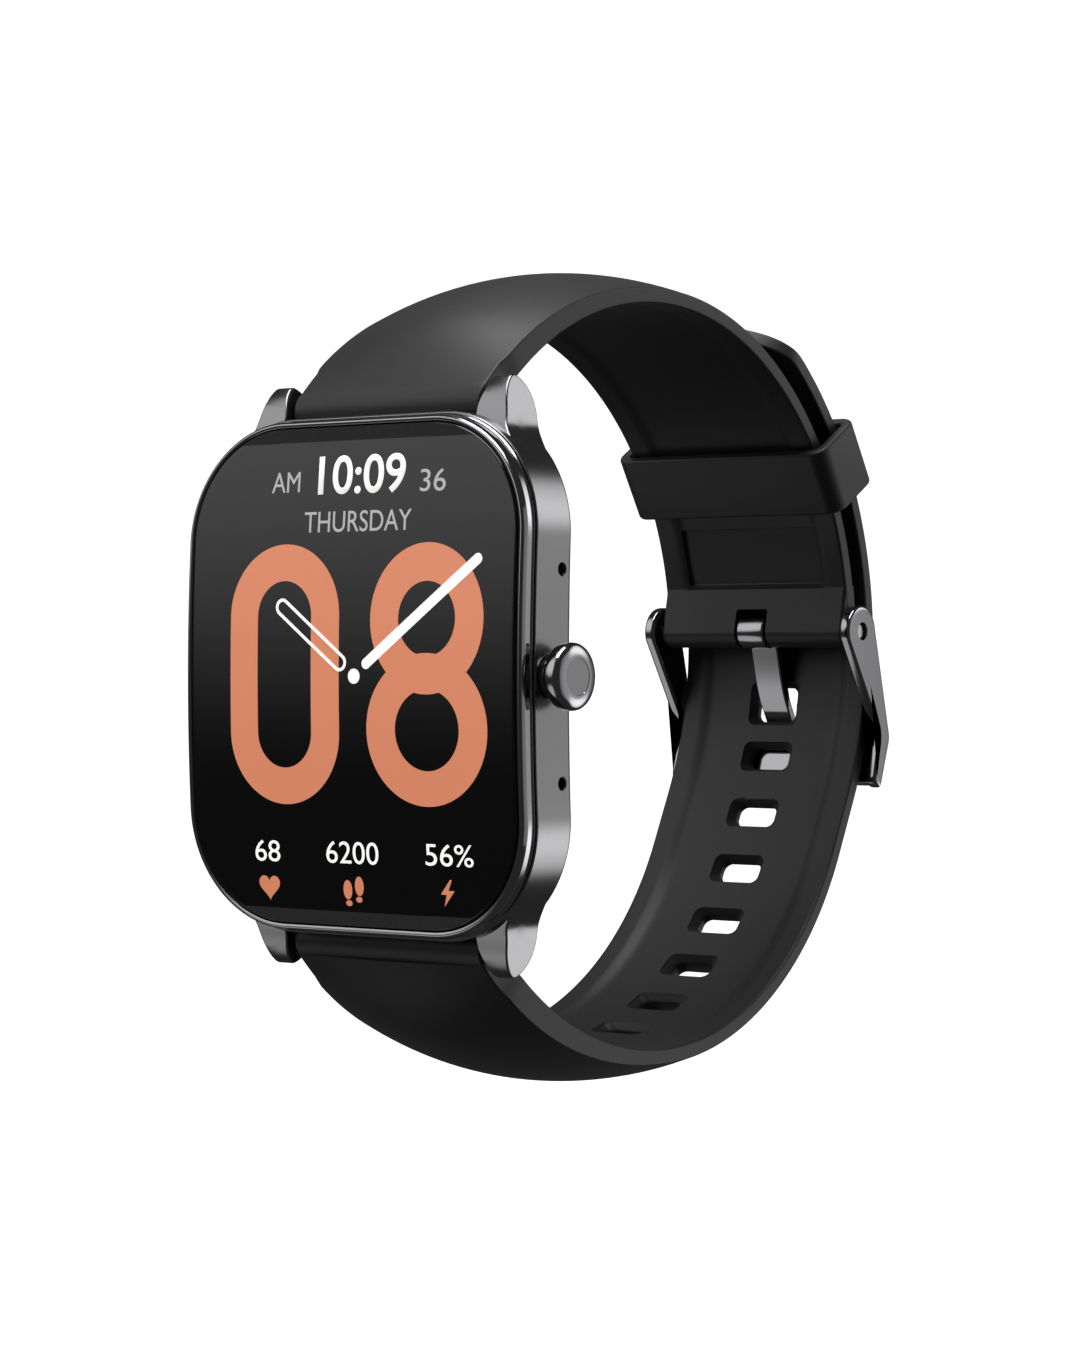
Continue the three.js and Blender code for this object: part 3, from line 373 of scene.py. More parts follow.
def through(points, count):
    """Catmull-Rom curve through points: each span blends four neighbours with cubic weights."""
    points = np.concatenate([2 * points[:1] - points[1:2], points, 2 * points[-1:] - points[-2:-1]])
    t = np.linspace(0, 1, count, endpoint=False)[:, None, None]
    a, b, c, d = [points[i:len(points) - 3 + i][None] for i in range(4)]
    curve = 0.5 * (2 * b + (c - a) * t + (2 * a - 5 * b + 4 * c - d) * t**2 + (3 * b - a - 3 * c + d) * t**3)
    return np.vstack([curve.transpose(1, 0, 2).reshape(-1, 2), points[-2]])


bar_y, bar_z = -4.0, half_height + 0.8
half_strap = 11.0
lug_thick = 3.6
lug_outer = half_strap + lug_thick
lug_foot = half_height - 3.6
lug_top = half_height - 0.9
lug_lean = 0.24
lug_sunk = 0.12    # how far a lug starts inside the band's corner


def lug_face(z):
    """Outer face of a lug against height: below the foot it follows the corner's circle from just inside,
    then a cubic with the circle's slope at the foot that arrives leaning, then a straight lean inwards."""
    rise = np.clip(np.minimum(z, lug_foot) - (half_height - corner_radius), 0, None)
    circle = half_width - corner_radius + np.sqrt(corner_radius**2 - rise**2)
    foot_rise = lug_foot - (half_height - corner_radius)
    foot_x = half_width - corner_radius + np.sqrt(corner_radius**2 - foot_rise**2)
    slope = -foot_rise / np.sqrt(corner_radius**2 - foot_rise**2)
    span = lug_top - lug_foot
    t = np.clip((z - lug_foot) / span, 0, 1)
    cubic = (2 * t**3 - 3 * t**2 + 1) * foot_x + (t**3 - 2 * t**2 + t) * span * slope
    cubic += (3 * t**2 - 2 * t**3) * lug_outer - (t**3 - t**2) * span * lug_lean
    face = cubic - lug_lean * np.clip(z - lug_top, 0, None)
    return np.where(z > lug_foot, face, circle) - lug_sunk * (1 - blend(z, lug_foot, lug_top))


def lug(name, side_x, side_z):
    """Lug body: a rounded finger outline in (y, z) made a slab along X, whose inner half is then moved to a
    slightly leaning inner face and whose outer half to the S-shaped outer face."""
    finger = [(-2.6, -8.0), (-3.9, -7.2), (-4.35, -5.6), (-4.2, -4.2), (-3.7, -2.8), (-3.05, -1.3),
              (-2.5, 0.5), (-1.75, 1.8), (-0.85, 2.38), (0.3, 1.85), (1.15, 0.7), (1.4, -0.8), (1.1, -2.4),
              (0.1, -4.2), (-0.75, -5.6), (-1.4, -7.0), (-1.8, -8.0)]
    outline = through(np.array(finger) + (bar_y, bar_z), 8)
    rings = slab(outline, 0, lug_thick, 0.16)
    x, z = rings[..., 0], rings[..., 2]
    inner = half_strap + 0.3 * np.clip(z - bar_z + 0.3, 0, None)
    rings[..., 0] = side_x * np.where(x < lug_thick / 2, inner + x, lug_face(z) - (lug_thick - x))
    rings[..., 2] = side_z * z
    return body(name, rings)


# %% Band, lugs and cuts
edge_steps = 8
rear_edge = rounded([(0, band_rear - 0.6), (0, band_rear + 0.35), (1.0, band_rear + 1.05)], 0.8, edge_steps)
rear_edge = rear_edge[edge_steps + 1:2 * (edge_steps + 1)]    # the middle one of its three corners
outer = np.vstack([[0.12, band_front], [0.03, band_front + 0.06], [0, band_front + 0.16],
                   [0, band_rear - 0.35], rear_edge,
                   [2.5, case_rear - 0.28], [2.75, case_rear - 0.05], [2.95, case_rear]])
inner = [(wall + 1.5, case_rear), (wall + 1.5, ledge), (wall + 3.1, ledge), (wall + 3.1, ledge - 0.8),
         (wall, band_rear - 0.55), (wall, band_front)]
case = body("case_shell", case_rings(np.vstack([outer, inner])), loop=True, sharp=30)
lugs = [lug(f"lug_{sx}_{sz}", sx, sz) for sx in (1, -1) for sz in (1, -1)]
crown_y = -7.3
mic_y, mic_z = band_rear - 0.75, 9.15
mic_profile = [(half_width - wall - 1, 0.5), (half_width - 0.12, 0.5), (half_width + 0.01, 0.62),
               (half_width + 1, 0.62)]
cuts = [rod("crown_recess", "X", half_width - wall - 2, half_width + 1, 1.95, (crown_y, 0), 48)]
for side in (1, -1):
    bar = (bar_y, side * bar_z)
    cuts.append(body(f"mic_{side}", turned(mic_profile, "X", (mic_y, side * mic_z))))
    cuts.append(rod(f"scoop_{side}", "X", -half_strap, half_strap, 2.4, bar, 64))
    cuts.append(rod(f"lug_bore_{side}", "X", -lug_outer + 1.5, lug_outer - 1.5, 0.85, bar, 24))
    outward, along = rounded_rectangle(0.4, 1.8, 0.39)
    slot = np.stack([crown_y + outward[0], side * 2.7 + along[0]], -1)
    cuts.append(body(f"speaker_slot_{side}", slab(slot, -half_width - 1, -half_width + wall + 1, 0.05)))
case = carved(case, lugs, cuts, sharp=28)
stands_for(case, "case_frame", satin)

# %% [markdown]
# ## Bezel ring and glass
# The ring in front of the band is polished. Seen from outside in, it has a thin groove against the band, a
# wall that leans in, a crest, and a bright bevel that falls to the glass. The glass sits a little inside the
# ring and its rim is rounded over, so it catches one thin line of light.

# %% Ring and glass bodies
ring_profile = rounded([(0.16, band_front - 0.12), (0.34, band_front - 0.32), (0.30, front + 0.62),
                        (0.42, front + 0.16), (0.60, front + 0.02), (0.92, front + 0.10),
                        (0.94, front + 1.28), (2.35, front + 1.28), (2.35, band_front - 0.12)], 0.09, 4)
ring = body("bezel_ring_fine", case_rings(ring_profile), loop=True, sharp=50)
stands_for(ring, "bezel_ring", bright)
glass_profile = [(1.32, front), (1.2, front + 0.008), (1.12, front + 0.03), (1.05, front + 0.08),
                 (1.01, front + 0.16), (1.0, front + 0.28), (1.0, front + 0.96), (1.04, front + 1.0)]
rim = case_rings(glass_profile, 32)
share = np.array([0.03, 0.12, 0.24, 0.36, 0.48, 0.6, 0.7, 0.8, 0.88, 0.94, 0.98])[:, None]
x, z = share * rim[0, :, 0], share * rim[0, :, 2]
glass = body("touch_glass_fine", np.concatenate([np.stack([x, bowed(front, z), z], -1), rim]))
stands_for(glass, "touch_glass", black_glass)
print("ring and glass made")

# %% [markdown]
# ## Dial
# The lit dial shows the hour as two big rounded numerals, a short line of time and date above them, three
# small readings with icons below, and two hands. Everything is a thin flat body just proud of the glass, so
# that it keeps an even colour. Round strokes are ribbons of constant width along a closed curve; lettering
# comes from the built-in font, turned into a mesh and fitted to its box.

# %% Light of the dial
def light(name, colour, strength):
    return finish(name, colour, 0.35, grain=0.4, depth=0.0, mottle=0.03, Emission_Strength=strength,
                  Emission_Color=(*colour, 1))


orange = light("lit orange", (0.62, 0.215, 0.115), 0.7)
white = light("lit white", (0.9, 0.9, 0.88), 0.8)
grey = light("lit grey", (0.42, 0.42, 0.42), 0.6)
dial_level = front - 0.012
dial_thick = 0.016
hand_lift, overlap_lift = 0.045, 0.004    # hands over numerals, one numeral ring over the other


def on_dial(piece, material):
    piece.data.materials.clear()
    piece.data.materials.append(material)
    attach(piece, "case")
    return piece


def ribbon(name, inner_edge, outer_edge, material, lift=0.0):
    """Flat band between two closed curves of equal length in (x, z), as four rings of a thin closed loop."""
    depths = dial_level - lift + np.array([0.0, 0.0, dial_thick, dial_thick])
    edges = [inner_edge, outer_edge, outer_edge, inner_edge]
    rings = [np.stack([edge[:, 0], bowed(y, edge[:, 1]), edge[:, 1]], -1) for edge, y in zip(edges, depths)]
    return on_dial(body(name, np.stack(rings), loop=True), material)


def flat_shape(name, edge, material, lift=0.0):
    """Flat plate inside one closed curve in (x, z)."""
    depths = dial_level - lift + np.array([0.0, dial_thick])
    rings = [np.stack([edge[:, 0], bowed(y, edge[:, 1]), edge[:, 1]], -1) for y in depths]
    return on_dial(body(name, np.stack(rings)), material)


def ellipse(middle, halves, count=96):
    angle = np.linspace(0, 2 * np.pi, count, endpoint=False)
    return np.array(middle) + np.stack([halves[0] * np.cos(angle), halves[1] * np.sin(angle)], -1)


def capsule(start, end, half, count=24, straight=10):
    """Outline of constant distance `half` round a straight line: two half circles joined by straights, which
    have points of their own so that they follow the bow."""
    start, end = np.array(start, float), np.array(end, float)
    heading = np.arctan2(*(end - start)[::-1])
    turn = np.linspace(-np.pi / 2, np.pi / 2, count)
    ends = [middle + half * np.stack([np.cos(heading + add + turn), np.sin(heading + add + turn)], -1)
            for middle, add in ((end, 0), (start, np.pi))]
    share = np.linspace(0, 1, straight + 2)[1:-1, None]
    sides = [ends[i][-1] + share * (ends[1 - i][0] - ends[i][-1]) for i in (0, 1)]
    return np.concatenate([ends[0], sides[0], ends[1], sides[1]])


# %% Numerals and hands
zero_middle, zero_half, zero_stroke, zero_rise = (-7.35, 0.15), 6.4, 3.25, 5.13
ends = [(zero_middle[0], zero_middle[1] + rise) for rise in (-zero_rise, zero_rise)]
ribbon("numeral_zero", capsule(*ends, zero_half - zero_stroke, 40), capsule(*ends, zero_half, 40), orange)
ribbon("numeral_eight_upper", ellipse((8.95, 4.98), (3.17, 3.25)), ellipse((8.92, 5.0), (6.3, 6.55)), orange)
ribbon("numeral_eight_lower", ellipse((8.98, -4.63), (3.55, 3.53)), ellipse((8.92, -4.6), (6.72, 6.62)),
       orange, overlap_lift)
hour_line = (-7.55, 6.1), (-0.85, 1.2)
ribbon("hour_hand", capsule(*hour_line, 0.5), capsule(*hour_line, 0.78), white, hand_lift)
flat_shape("minute_hand", capsule((2.2, 1.1), (14.5, 10.05), 0.47), white, hand_lift)
flat_shape("hand_dot", ellipse((0.83, 0.0), (0.66, 0.66)), white, hand_lift)
print("numerals and hands made")


# %% Lettering and icons
def lettering(name, text, low, high, material, bold=0.0):
    """Built-in font as a mesh, stretched to fill a box between two corners (x, z) on the dial."""
    curve = bpy.data.curves.new(name, "FONT")
    curve.body, curve.offset, curve.resolution_u = text, bold, 6
    source = bpy.data.objects.new(name + "_source", curve)
    bpy.context.scene.collection.objects.link(source)
    graph = bpy.context.evaluated_depsgraph_get()
    mesh = bpy.data.meshes.new_from_object(source.evaluated_get(graph))
    bpy.data.objects.remove(source)
    work = bmesh.new()
    work.from_mesh(mesh)
    bmesh.ops.remove_doubles(work, verts=work.verts, dist=1e-5)
    raised = bmesh.ops.extrude_face_region(work, geom=work.faces[:])
    top = [v for v in raised["geom"] if isinstance(v, bmesh.types.BMVert)]
    bmesh.ops.translate(work, verts=top, vec=(0, 0, 1))
    bmesh.ops.recalc_face_normals(work, faces=work.faces)
    work.to_mesh(mesh)
    work.free()
    co = np.empty(len(mesh.vertices) * 3, np.float32)
    mesh.vertices.foreach_get("co", co)
    co = co.reshape(-1, 3)
    flat = co[:, :2]
    share = (flat - flat.min(0)) / (flat.max(0) - flat.min(0))
    x, z = (np.array(low) + share * (np.array(high) - np.array(low))).T
    y = bowed(np.where(co[:, 2] > 0.5, dial_level, dial_level + dial_thick), z)
    mesh.vertices.foreach_set("co", (np.stack([x, y, z], -1) * MM).astype(np.float32).ravel())
    mesh.update()
    piece = bpy.data.objects.new(name, mesh)
    bpy.context.scene.collection.objects.link(piece)
    return on_dial(piece, material)


for label, text, low, high, material, bold in (
    ("time", "10:09", (-3.9, 15.95), (6.05, 19.4), white, 0.012),
    ("half_day", "AM", (-9.35, 16.3), (-6.05, 18.1), grey, 0),
    ("date", "36", (7.75, 15.95), (10.6, 17.9), grey, 0),
    ("weekday", "THURSDAY", (-5.3, 12.65), (6.95, 14.5), grey, 0),
    ("pulse", "68", (-11.3, -16.55), (-8.35, -14.65), white, 0),
    ("steps", "6200", (-2.9, -16.45), (3.1, -14.5), white, 0),
    ("charge", "56%", (8.4, -16.3), (13.7, -14.4), white, 0),
):
    lettering("dial_" + label, text, low, high, material, bold)

turn = np.linspace(0, 2 * np.pi, 80, endpoint=False)
heart = np.stack([16 * np.sin(turn) ** 3, 13 * np.cos(turn) - 5 * np.cos(2 * turn) - 2 * np.cos(3 * turn)
                  - np.cos(4 * turn)], -1) * (1.22 / 16) + (-9.8, -18.75)
flat_shape("icon_heart", heart, orange)
bolt = [(0.35, 1.15), (-0.75, -0.15), (-0.1, -0.15), (-0.4, -1.2), (0.8, 0.2), (0.12, 0.2), (0.55, 1.15)]
flat_shape("icon_charge", rounded(np.array(bolt) + (10.65, -18.6), 0.06, 2), orange)
for side, (x, z) in ((-1, (-0.62, -18.75)), (1, (0.72, -18.4))):
    flat_shape(f"icon_sole_{side}", ellipse((x, z), (0.5, 0.85), 40), orange)
    flat_shape(f"icon_heel_{side}", ellipse((x - side * 0.08, z - 1.18), (0.36, 0.26), 32), orange)
print("dial pieces made")

# %% [markdown]
# ## Crown
# The crown is one turned cap on a thin stem, with a domed face that has a fine blasted disc let into it.
# The fixed collar behind it stays dark in its recess. Both are profiles carried round the crown's axis.

# %% Crown cap and its disc
cap_low, cap_high = np.array(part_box("crown_cap")) / MM
cap_back, cap_front, cap_radius = cap_low[0], cap_high[0], (cap_high[2] - cap_low[2]) / 2
cap_profile = [(cap_back + 0.9, 0.98), (cap_back, 1.0), (cap_back, 2.2), (cap_back + 0.03, 2.6),
               (cap_back + 0.12, 2.8), (cap_back + 0.3, cap_radius), (cap_front - 0.62, cap_radius),
               (cap_front - 0.45, 2.87), (cap_front - 0.3, 2.78), (cap_front - 0.16, 2.6),
               (cap_front - 0.07, 2.3), (cap_front - 0.01, 1.95), (cap_front, 1.75), (cap_front, 1.62),
               (cap_front - 0.05, 1.58), (cap_front - 0.05, 0.02)]
cap = body("crown_cap_fine", turned(cap_profile, "X", (crown_y, 0), 128), sharp=40)
stands_for(cap, "crown_cap", bright)
disc_profile = [(cap_front - 0.04, 0.02), (cap_front - 0.04, 1.55), (cap_front - 0.2, 1.55)]
disc = body("crown_disc", turned(disc_profile, "X", (crown_y, 0), 96))
disc.data.materials.append(satin)
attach(disc, "crown_turning")
finer("crown_tube", bright)
print("crown radius", round(cap_radius, 2))

# %% [markdown]
# ## The strap's path
# The closed strap follows tangent arcs in the Y-Z plane: a wide arc over each lug, then the arc that goes
# round the wrist. The upper half ends at the buckle bar. The lower half runs once under the wrist and up
# outside the buckle. A station on the path holds its place, the outward direction and its angle.

# %% Arcs and stations
clasp = np.array([bar_y + 25.5, 3.2])
lower = np.array([clasp[0] + 0.5, -clasp[1] - 0.25])
loop_radius = 31.3
tail_radius = loop_radius + 3.4
upper_join, lower_join = 84.6, -90.0
buckle_angle, tail_end = 2.0, 60.0


def direction(angle):
    return np.stack([np.cos(np.radians(angle)), np.sin(np.radians(angle))], -1)


def arc(centre, radius, start, end, count):
    """Stations evenly round part of a circle: columns are y, z, outward y, outward z and the angle."""
    angle = np.linspace(start, end, count)
    out = direction(angle)
    return np.column_stack([centre + radius * out, out, angle])


def path(*arcs):
    """Arcs one after another with repeated stations dropped, and the length so far as a sixth column."""
    stations = np.concatenate(arcs)
    step = np.linalg.norm(np.diff(stations[:, :2], axis=0), axis=1)
    stations = stations[np.concatenate([[True], step > 0.02])]
    step = np.linalg.norm(np.diff(stations[:, :2], axis=0), axis=1)
    return np.column_stack([stations, np.concatenate([[0], np.cumsum(step)])])


def front_arc(centre, angle, bar, inside):
    """Centre and radius of the wider arc that meets a loop arc at an angle and passes a bar: from
    |bar - centre + d * out| = loop_radius + d - inside, with d the extra radius."""
    out, bar = direction(angle), np.array(bar) - centre
    near = loop_radius - inside
    extra = (bar @ bar - near**2) / (2 * (near - bar @ out))
    return centre - extra * out, loop_radius + extra


upper_front, upper_radius = front_arc(clasp, upper_join, (bar_y, bar_z), -0.28)
lower_front, lower_radius = front_arc(lower, lower_join, (bar_y, -bar_z), -0.7)
upper_start = 180 - np.degrees(np.arctan2(bar_z + 0.4 - upper_front[1], upper_front[0] - bar_y + 0.5))
lower_start = -180 + np.degrees(np.arctan2(bar_z + 0.4 + lower_front[1], lower_front[0] - bar_y + 0.5))
between = clasp - lower
tangent = np.degrees(np.arctan2(between[1], between[0])
                     - np.arccos((loop_radius - tail_radius) / np.linalg.norm(between)))
upper_path = path(arc(upper_front, upper_radius, upper_start, upper_join, 40),
                  arc(clasp, loop_radius, upper_join, buckle_angle, 70))
lower_path = path(arc(lower_front, lower_radius, lower_start, lower_join, 40),
                  arc(lower, loop_radius, lower_join, tangent, 50),
                  arc(clasp, tail_radius, tangent, tail_end - 9.2, 60),
                  arc(clasp, tail_radius, tail_end - 9.0, tail_end, 40))
print("strap lengths:", round(upper_path[-1, 5], 1), round(lower_path[-1, 5], 1), "mm")

# %% [markdown]
# ## The strap's section
# Inside, two flat lips border a hollow a third of a millimetre deep. The sides are 1.4 mm high with soft
# edges. Near the case they are higher, and the outside swells like a barrel, as a parabola across the
# width. The section is worked out for all stations at once, and the numbers that change along the strap
# are arrays.

# %% Section and sweep
strap_edge, swell_length = 1.4, 30


def strap_rings(stations, half, crown, dip, end_swell, soft=0.22):
    """Rings across a strap. Inner face: a smooth hollow between the lips. Sides: straight, thicker near the
    case, with quarter-round corners. Outer face: edge + crown * (1 - u^2), with u from -1 to 1 across."""
    edge = strap_edge + end_swell * (1 - blend(stations[:, 5], 0, swell_length))
    half, crown, dip, edge = [np.broadcast_to(v, len(stations))[:, None] for v in (half, crown, dip, edge)]
    soft = np.minimum(soft, 0.3 * half)
    turn = np.linspace(0, np.pi / 2, 6)
    u_in, u_out = np.linspace(-1, 1, 41), np.linspace(1, -1, 33)
    flat = half - soft
    across = [u_in * flat, flat + soft * np.sin(turn), flat + soft * np.cos(turn), u_out[1:-1] * flat,
              -flat - soft * np.sin(turn), -flat - soft * np.cos(turn)]
    hollow = dip * blend(half - 2.4 - np.abs(u_in * flat), 0.0, 0.8)
    shoulder = edge - soft
    dome = edge + crown * (1 - u_out[1:-1] ** 2)
    rise = [hollow, soft * (1 - np.cos(turn)), shoulder + soft * np.sin(turn), dome,
            shoulder + soft * np.cos(turn), soft * (1 - np.sin(turn))]
    x = np.concatenate([np.broadcast_to(a, (len(stations), a.shape[-1])) for a in across], 1)
    h = np.concatenate([np.broadcast_to(r, (len(stations), r.shape[-1])) for r in rise], 1)
    place = stations[:, None, :2] + h[..., None] * stations[:, None, 2:4]
    return np.concatenate([x[..., None], place], -1)


# %% [markdown]
# ## Upper strap half
# It starts as a barrel round the spring bar and ends as a thick bar round the buckle's pin, with a notch
# for the tongue. On the wrist side there is a shallow seat below the keeper, and a slot for the knob of
# the quick-release pin.

# %% Upper strap body
strap_end = half_strap - 0.3
bore_reach, pin_radius = 12, 0.9
swell = blend(upper_path[:, 4], 58, 88)
narrow = 0.3 * (1 - blend(upper_path[:, 5], 3.2, 4.2))
crown_height = 1.9 * blend(upper_path[:, 5], -1, 9) * swell + 0.7 * (1 - swell)
upper_rings = strap_rings(upper_path, half_strap - narrow, crown_height, 0.3, 0.9)
upper = body("strap_upper_fine", upper_rings, sharp=60)


def barrel(name, side):
    """Round end of a strap half: a rod round the spring bar with softened rims."""
    profile = [(-strap_end, 1.9), (-strap_end + 0.06, 2.03), (-strap_end + 0.2, 2.1)]
    profile += [(-x, r) for x, r in profile[::-1]]
    return body(name, turned(profile, "X", (bar_y, side * bar_z), 72))


def release_slot(name, side):
    """Notch in which the knob of the release pin slides, at 38 degrees on the wrist side."""
    lean = -38 * side
    middle = np.array([bar_y, side * bar_z]) + 2.55 * direction(lean)
    notch = block(name, middle, (1.65, 2.55, 0.9), lean, 0.3)
    notch.data.transform(Matrix.Translation((5.45 * MM, 0, 0)))
    return notch


pin_place = clasp + (loop_radius + 0.25) * direction(buckle_angle)
thick_end = [pin_place + 1.6 * direction(a) for a in range(180, 361, 10)]
thick_end += [clasp + r * direction(buckle_angle + 8) for r in (loop_radius + 1.7, loop_radius)]
end_block = body("end_block", slab(np.array(thick_end), -half_strap + 0.05, half_strap - 0.05, 0.3))
seat_from, seat_to = 10.5, 21.5    # angles on the loop
seat_middle = (seat_from + seat_to) / 2
seat_halves = (half_strap - 2.9, 1.4, loop_radius * np.radians(seat_to - seat_from) / 2)
seat = block("seat", clasp + (loop_radius - 0.85) * direction(seat_middle), seat_halves, seat_middle, 0.25)
notch = block("tongue_notch", pin_place + (0, -1.85), (1.9, 6, 4.15), 0, 0.5)
upper_cuts = [rod("upper_bore", "X", -bore_reach, bore_reach, 1.35, (bar_y, bar_z)),
              rod("pin_bore", "X", -bore_reach, bore_reach, pin_radius, pin_place),
              release_slot("upper_slot", 1), seat, notch]
upper = carved(upper, [barrel("upper_barrel", 1), end_block], upper_cuts, sharp=40)
stands_for(upper, "strap_upper", silicone)

# %% [markdown]
# ## Lower strap half
# The long half has a rounded tip and nine adjustment holes. A moulded hole is a rounded rectangle that is
# wide on the wrist side and narrows outward, so each cutter is a stack of rounded rectangles. The hole in
# use is stretched along the strap by the tongue.

# %% Lower strap body
tail_length = lower_path[-1, 5]
tip = np.clip(1 - (tail_length - lower_path[:, 5]) / 5.6, 0, 1)
narrow = 0.3 * (1 - blend(lower_path[:, 5], 3.2, 4.2))
half = (half_strap - narrow) * np.sqrt(1.004 - tip**2)
swell = 1 - blend(lower_path[:, 4], -88, -30)
crown_height = 1.9 * blend(lower_path[:, 5], -1, 9) * swell + 0.2
dip = 0.3 * (1 - blend(tip, 0, 0.4))
long_half = body("strap_lower_fine", strap_rings(lower_path, half, crown_height, dip, 1.4), sharp=60)


def hole(number, length):
    """Cutter for one hole: rounded rectangles whose halves shrink from the wrist side outward."""
    y, z, angle = [np.interp(length, lower_path[:, 5], lower_path[:, column]) for column in (0, 1, 4)]
    rise = np.array([-0.6, -0.1, 0.1, 0.3, 0.55, 0.9, 1.15, 3.5])
    across = np.array([3.4, 3.3, 3.08, 2.98, 2.8, 2.42, 2.3, 2.3])
    along = np.array([2.0, 1.9, 1.68, 1.58, 1.45, 1.22, 1.12, 1.1])
    x, w = rounded_rectangle(across, along, np.full(8, 0.85), 8)
    c, s = np.cos(np.radians(angle)), np.sin(np.radians(angle))
    rings = np.stack([x, y + rise[:, None] * c - w * s, z + rise[:, None] * s + w * c], -1)
    return body(f"hole_{number}", rings)


first_hole = buckle_angle - np.degrees(6.78 / tail_radius)
first = tail_length - tail_radius * np.radians(tail_end - first_hole)
hole_pitch = 6.2
holes = [hole(number, first - number * hole_pitch) for number in range(9)] + [hole("stretched", first - 1.3)]
lower_cuts = [rod("lower_bore", "X", -bore_reach, bore_reach, 1.35, (bar_y, -bar_z)),
              release_slot("lower_slot", -1), *holes]
long_half = carved(long_half, [barrel("lower_barrel", -1)], lower_cuts, sharp=40)
stands_for(long_half, "strap_lower", silicone)

# %% [markdown]
# ## Spring bars and keeper
# The spring bars hide in the barrels, so their CAD shapes only get merged and bevelled. The keeper is a
# moulded box loop: a rounded rectangle round both strap halves, and at each of its points a small rounded
# rectangle for the wall, so the whole loop is one closed grid in both directions.

# %% Bars and keeper
for side in ("upper", "lower"):
    for part in ("bar_tube", "bar_pin", "release_pin"):
        finer(f"{side}_{part}", steel)
finer("buckle_bar", steel, 0.08)

keeper_angle, keeper_length, keeper_wall = 31.2, 6.9, 1.1
keeper_low, keeper_high = loop_radius - 0.3, tail_radius + 1.8
wall_offset, wall_along = rounded_rectangle(keeper_wall / 2, keeper_length / 2, 0.32, 5)
offset, along = wall_offset[0], wall_along[0]
half_across = half_strap + 0.5 + keeper_wall / 2 + offset
half_out = (keeper_high - keeper_low + keeper_wall) / 2 + offset
across, out = rounded_rectangle(half_across, half_out, 1.15 + offset, 10)
middle = (keeper_low + keeper_high) / 2
c, s = direction(keeper_angle)
keeper_rings = np.stack([across, clasp[0] + (middle + out) * c - along[:, None] * s,
                         clasp[1] + (middle + out) * s + along[:, None] * c], -1)
keeper = body("strap_keeper_fine", keeper_rings, loop=True, sharp=60)
stands_for(keeper, "strap_keeper", silicone)
print("keeper", round(2 * (half_strap + 0.5 + keeper_wall), 1), "mm wide")

# %% [markdown]
# ## Buckle
# The buckle is one polished frame: two arms, round where they turn on the pin and slimmer towards the far
# bar that joins them. Arms and bar are slabs with rounded edges, joined into one body. The tongue is a
# strip with an eye at one end; it leans out through the hole and its tip rests on the far bar.

# %% Buckle frame
plate_low = tail_radius + 2.0
plate_high = plate_low + 1.25
far_middle, far_length = buckle_angle - np.degrees(12.72 / tail_radius), 4.6
far_half = np.degrees(far_length / 2 / plate_low)
arm_inner, arm_outer = half_strap + 0.35, half_strap + 1.55


def on_clasp(radius, angle):
    return clasp + radius * direction(angle)


head = pin_place + 2.55 * direction(np.linspace(8, 200, 40))
foot_steps = 8
foot = rounded([on_clasp(plate_low - 0.6, far_middle + far_half),
                on_clasp(plate_low - 0.1, far_middle - far_half),
                on_clasp(plate_high + 0.1, far_middle - far_half - 0.4),
                on_clasp(plate_high + 0.15, far_middle + far_half + 1),
                pin_place + (1.2, 0.4)], 0.9, foot_steps)
outline = np.concatenate([head, foot[:4 * (foot_steps + 1)]])    # its last corner only leads back to the head
arm_thick = 1.2
arms = [body(f"arm_{i}", slab(outline, low, low + arm_thick, 0.34, 6))
        for i, low in enumerate((arm_inner, -arm_outer))]
far_bar = block("far_bar", on_clasp((plate_low + plate_high) / 2, far_middle),
                (arm_outer - 0.3, 0.62, far_length / 2), far_middle, 0.3)
pin_hole = rod("pin_hole", "X", -14, 14, pin_radius, pin_place)
buckle = carved(arms[0], [arms[1], far_bar], [pin_hole], sharp=40)
stands_for(buckle, "buckle_frame", bright)

# %% Tongue
rest = plate_high + 0.55
tongue_half, tongue_thick = 1.6, 0.88
spine = np.array([pin_place + (1.1, -0.2), on_clasp(tail_radius - 0.2, -8.0),
                  on_clasp(tail_radius + 2.1, -12.8), on_clasp(rest + 0.25, far_middle + far_half - 0.6),
                  on_clasp(rest, far_middle - far_half * 0.3)])
line = through(spine, 8)
heading = np.gradient(line, axis=0)
heading /= np.linalg.norm(heading, axis=1)[:, None]
normal = np.stack([-heading[:, 1], heading[:, 0]], -1)
strip = np.concatenate([line + tongue_thick / 2 * normal, line[::-1] - tongue_thick / 2 * normal[::-1]])
blade = body("blade", slab(strip, -tongue_half, tongue_half, 0.16))
eye_outline = pin_place + 1.7 * direction(np.linspace(0, 355, 72))
eye = body("eye", slab(eye_outline, -tongue_half, tongue_half, 0.2))
tongue = carved(blade, [eye], [rod("eye_bore", "X", -3, 3, pin_radius, pin_place)], sharp=40)
stands_for(tongue, "buckle_tongue", bright)

# %% [markdown]
# ## Back of the case
# The back cover is moulded resin with a round dome, and the sensor lens in its middle is dark glass with a
# flat face and a rounded rim. Screws and charge contacts keep their own shapes with broken edges.

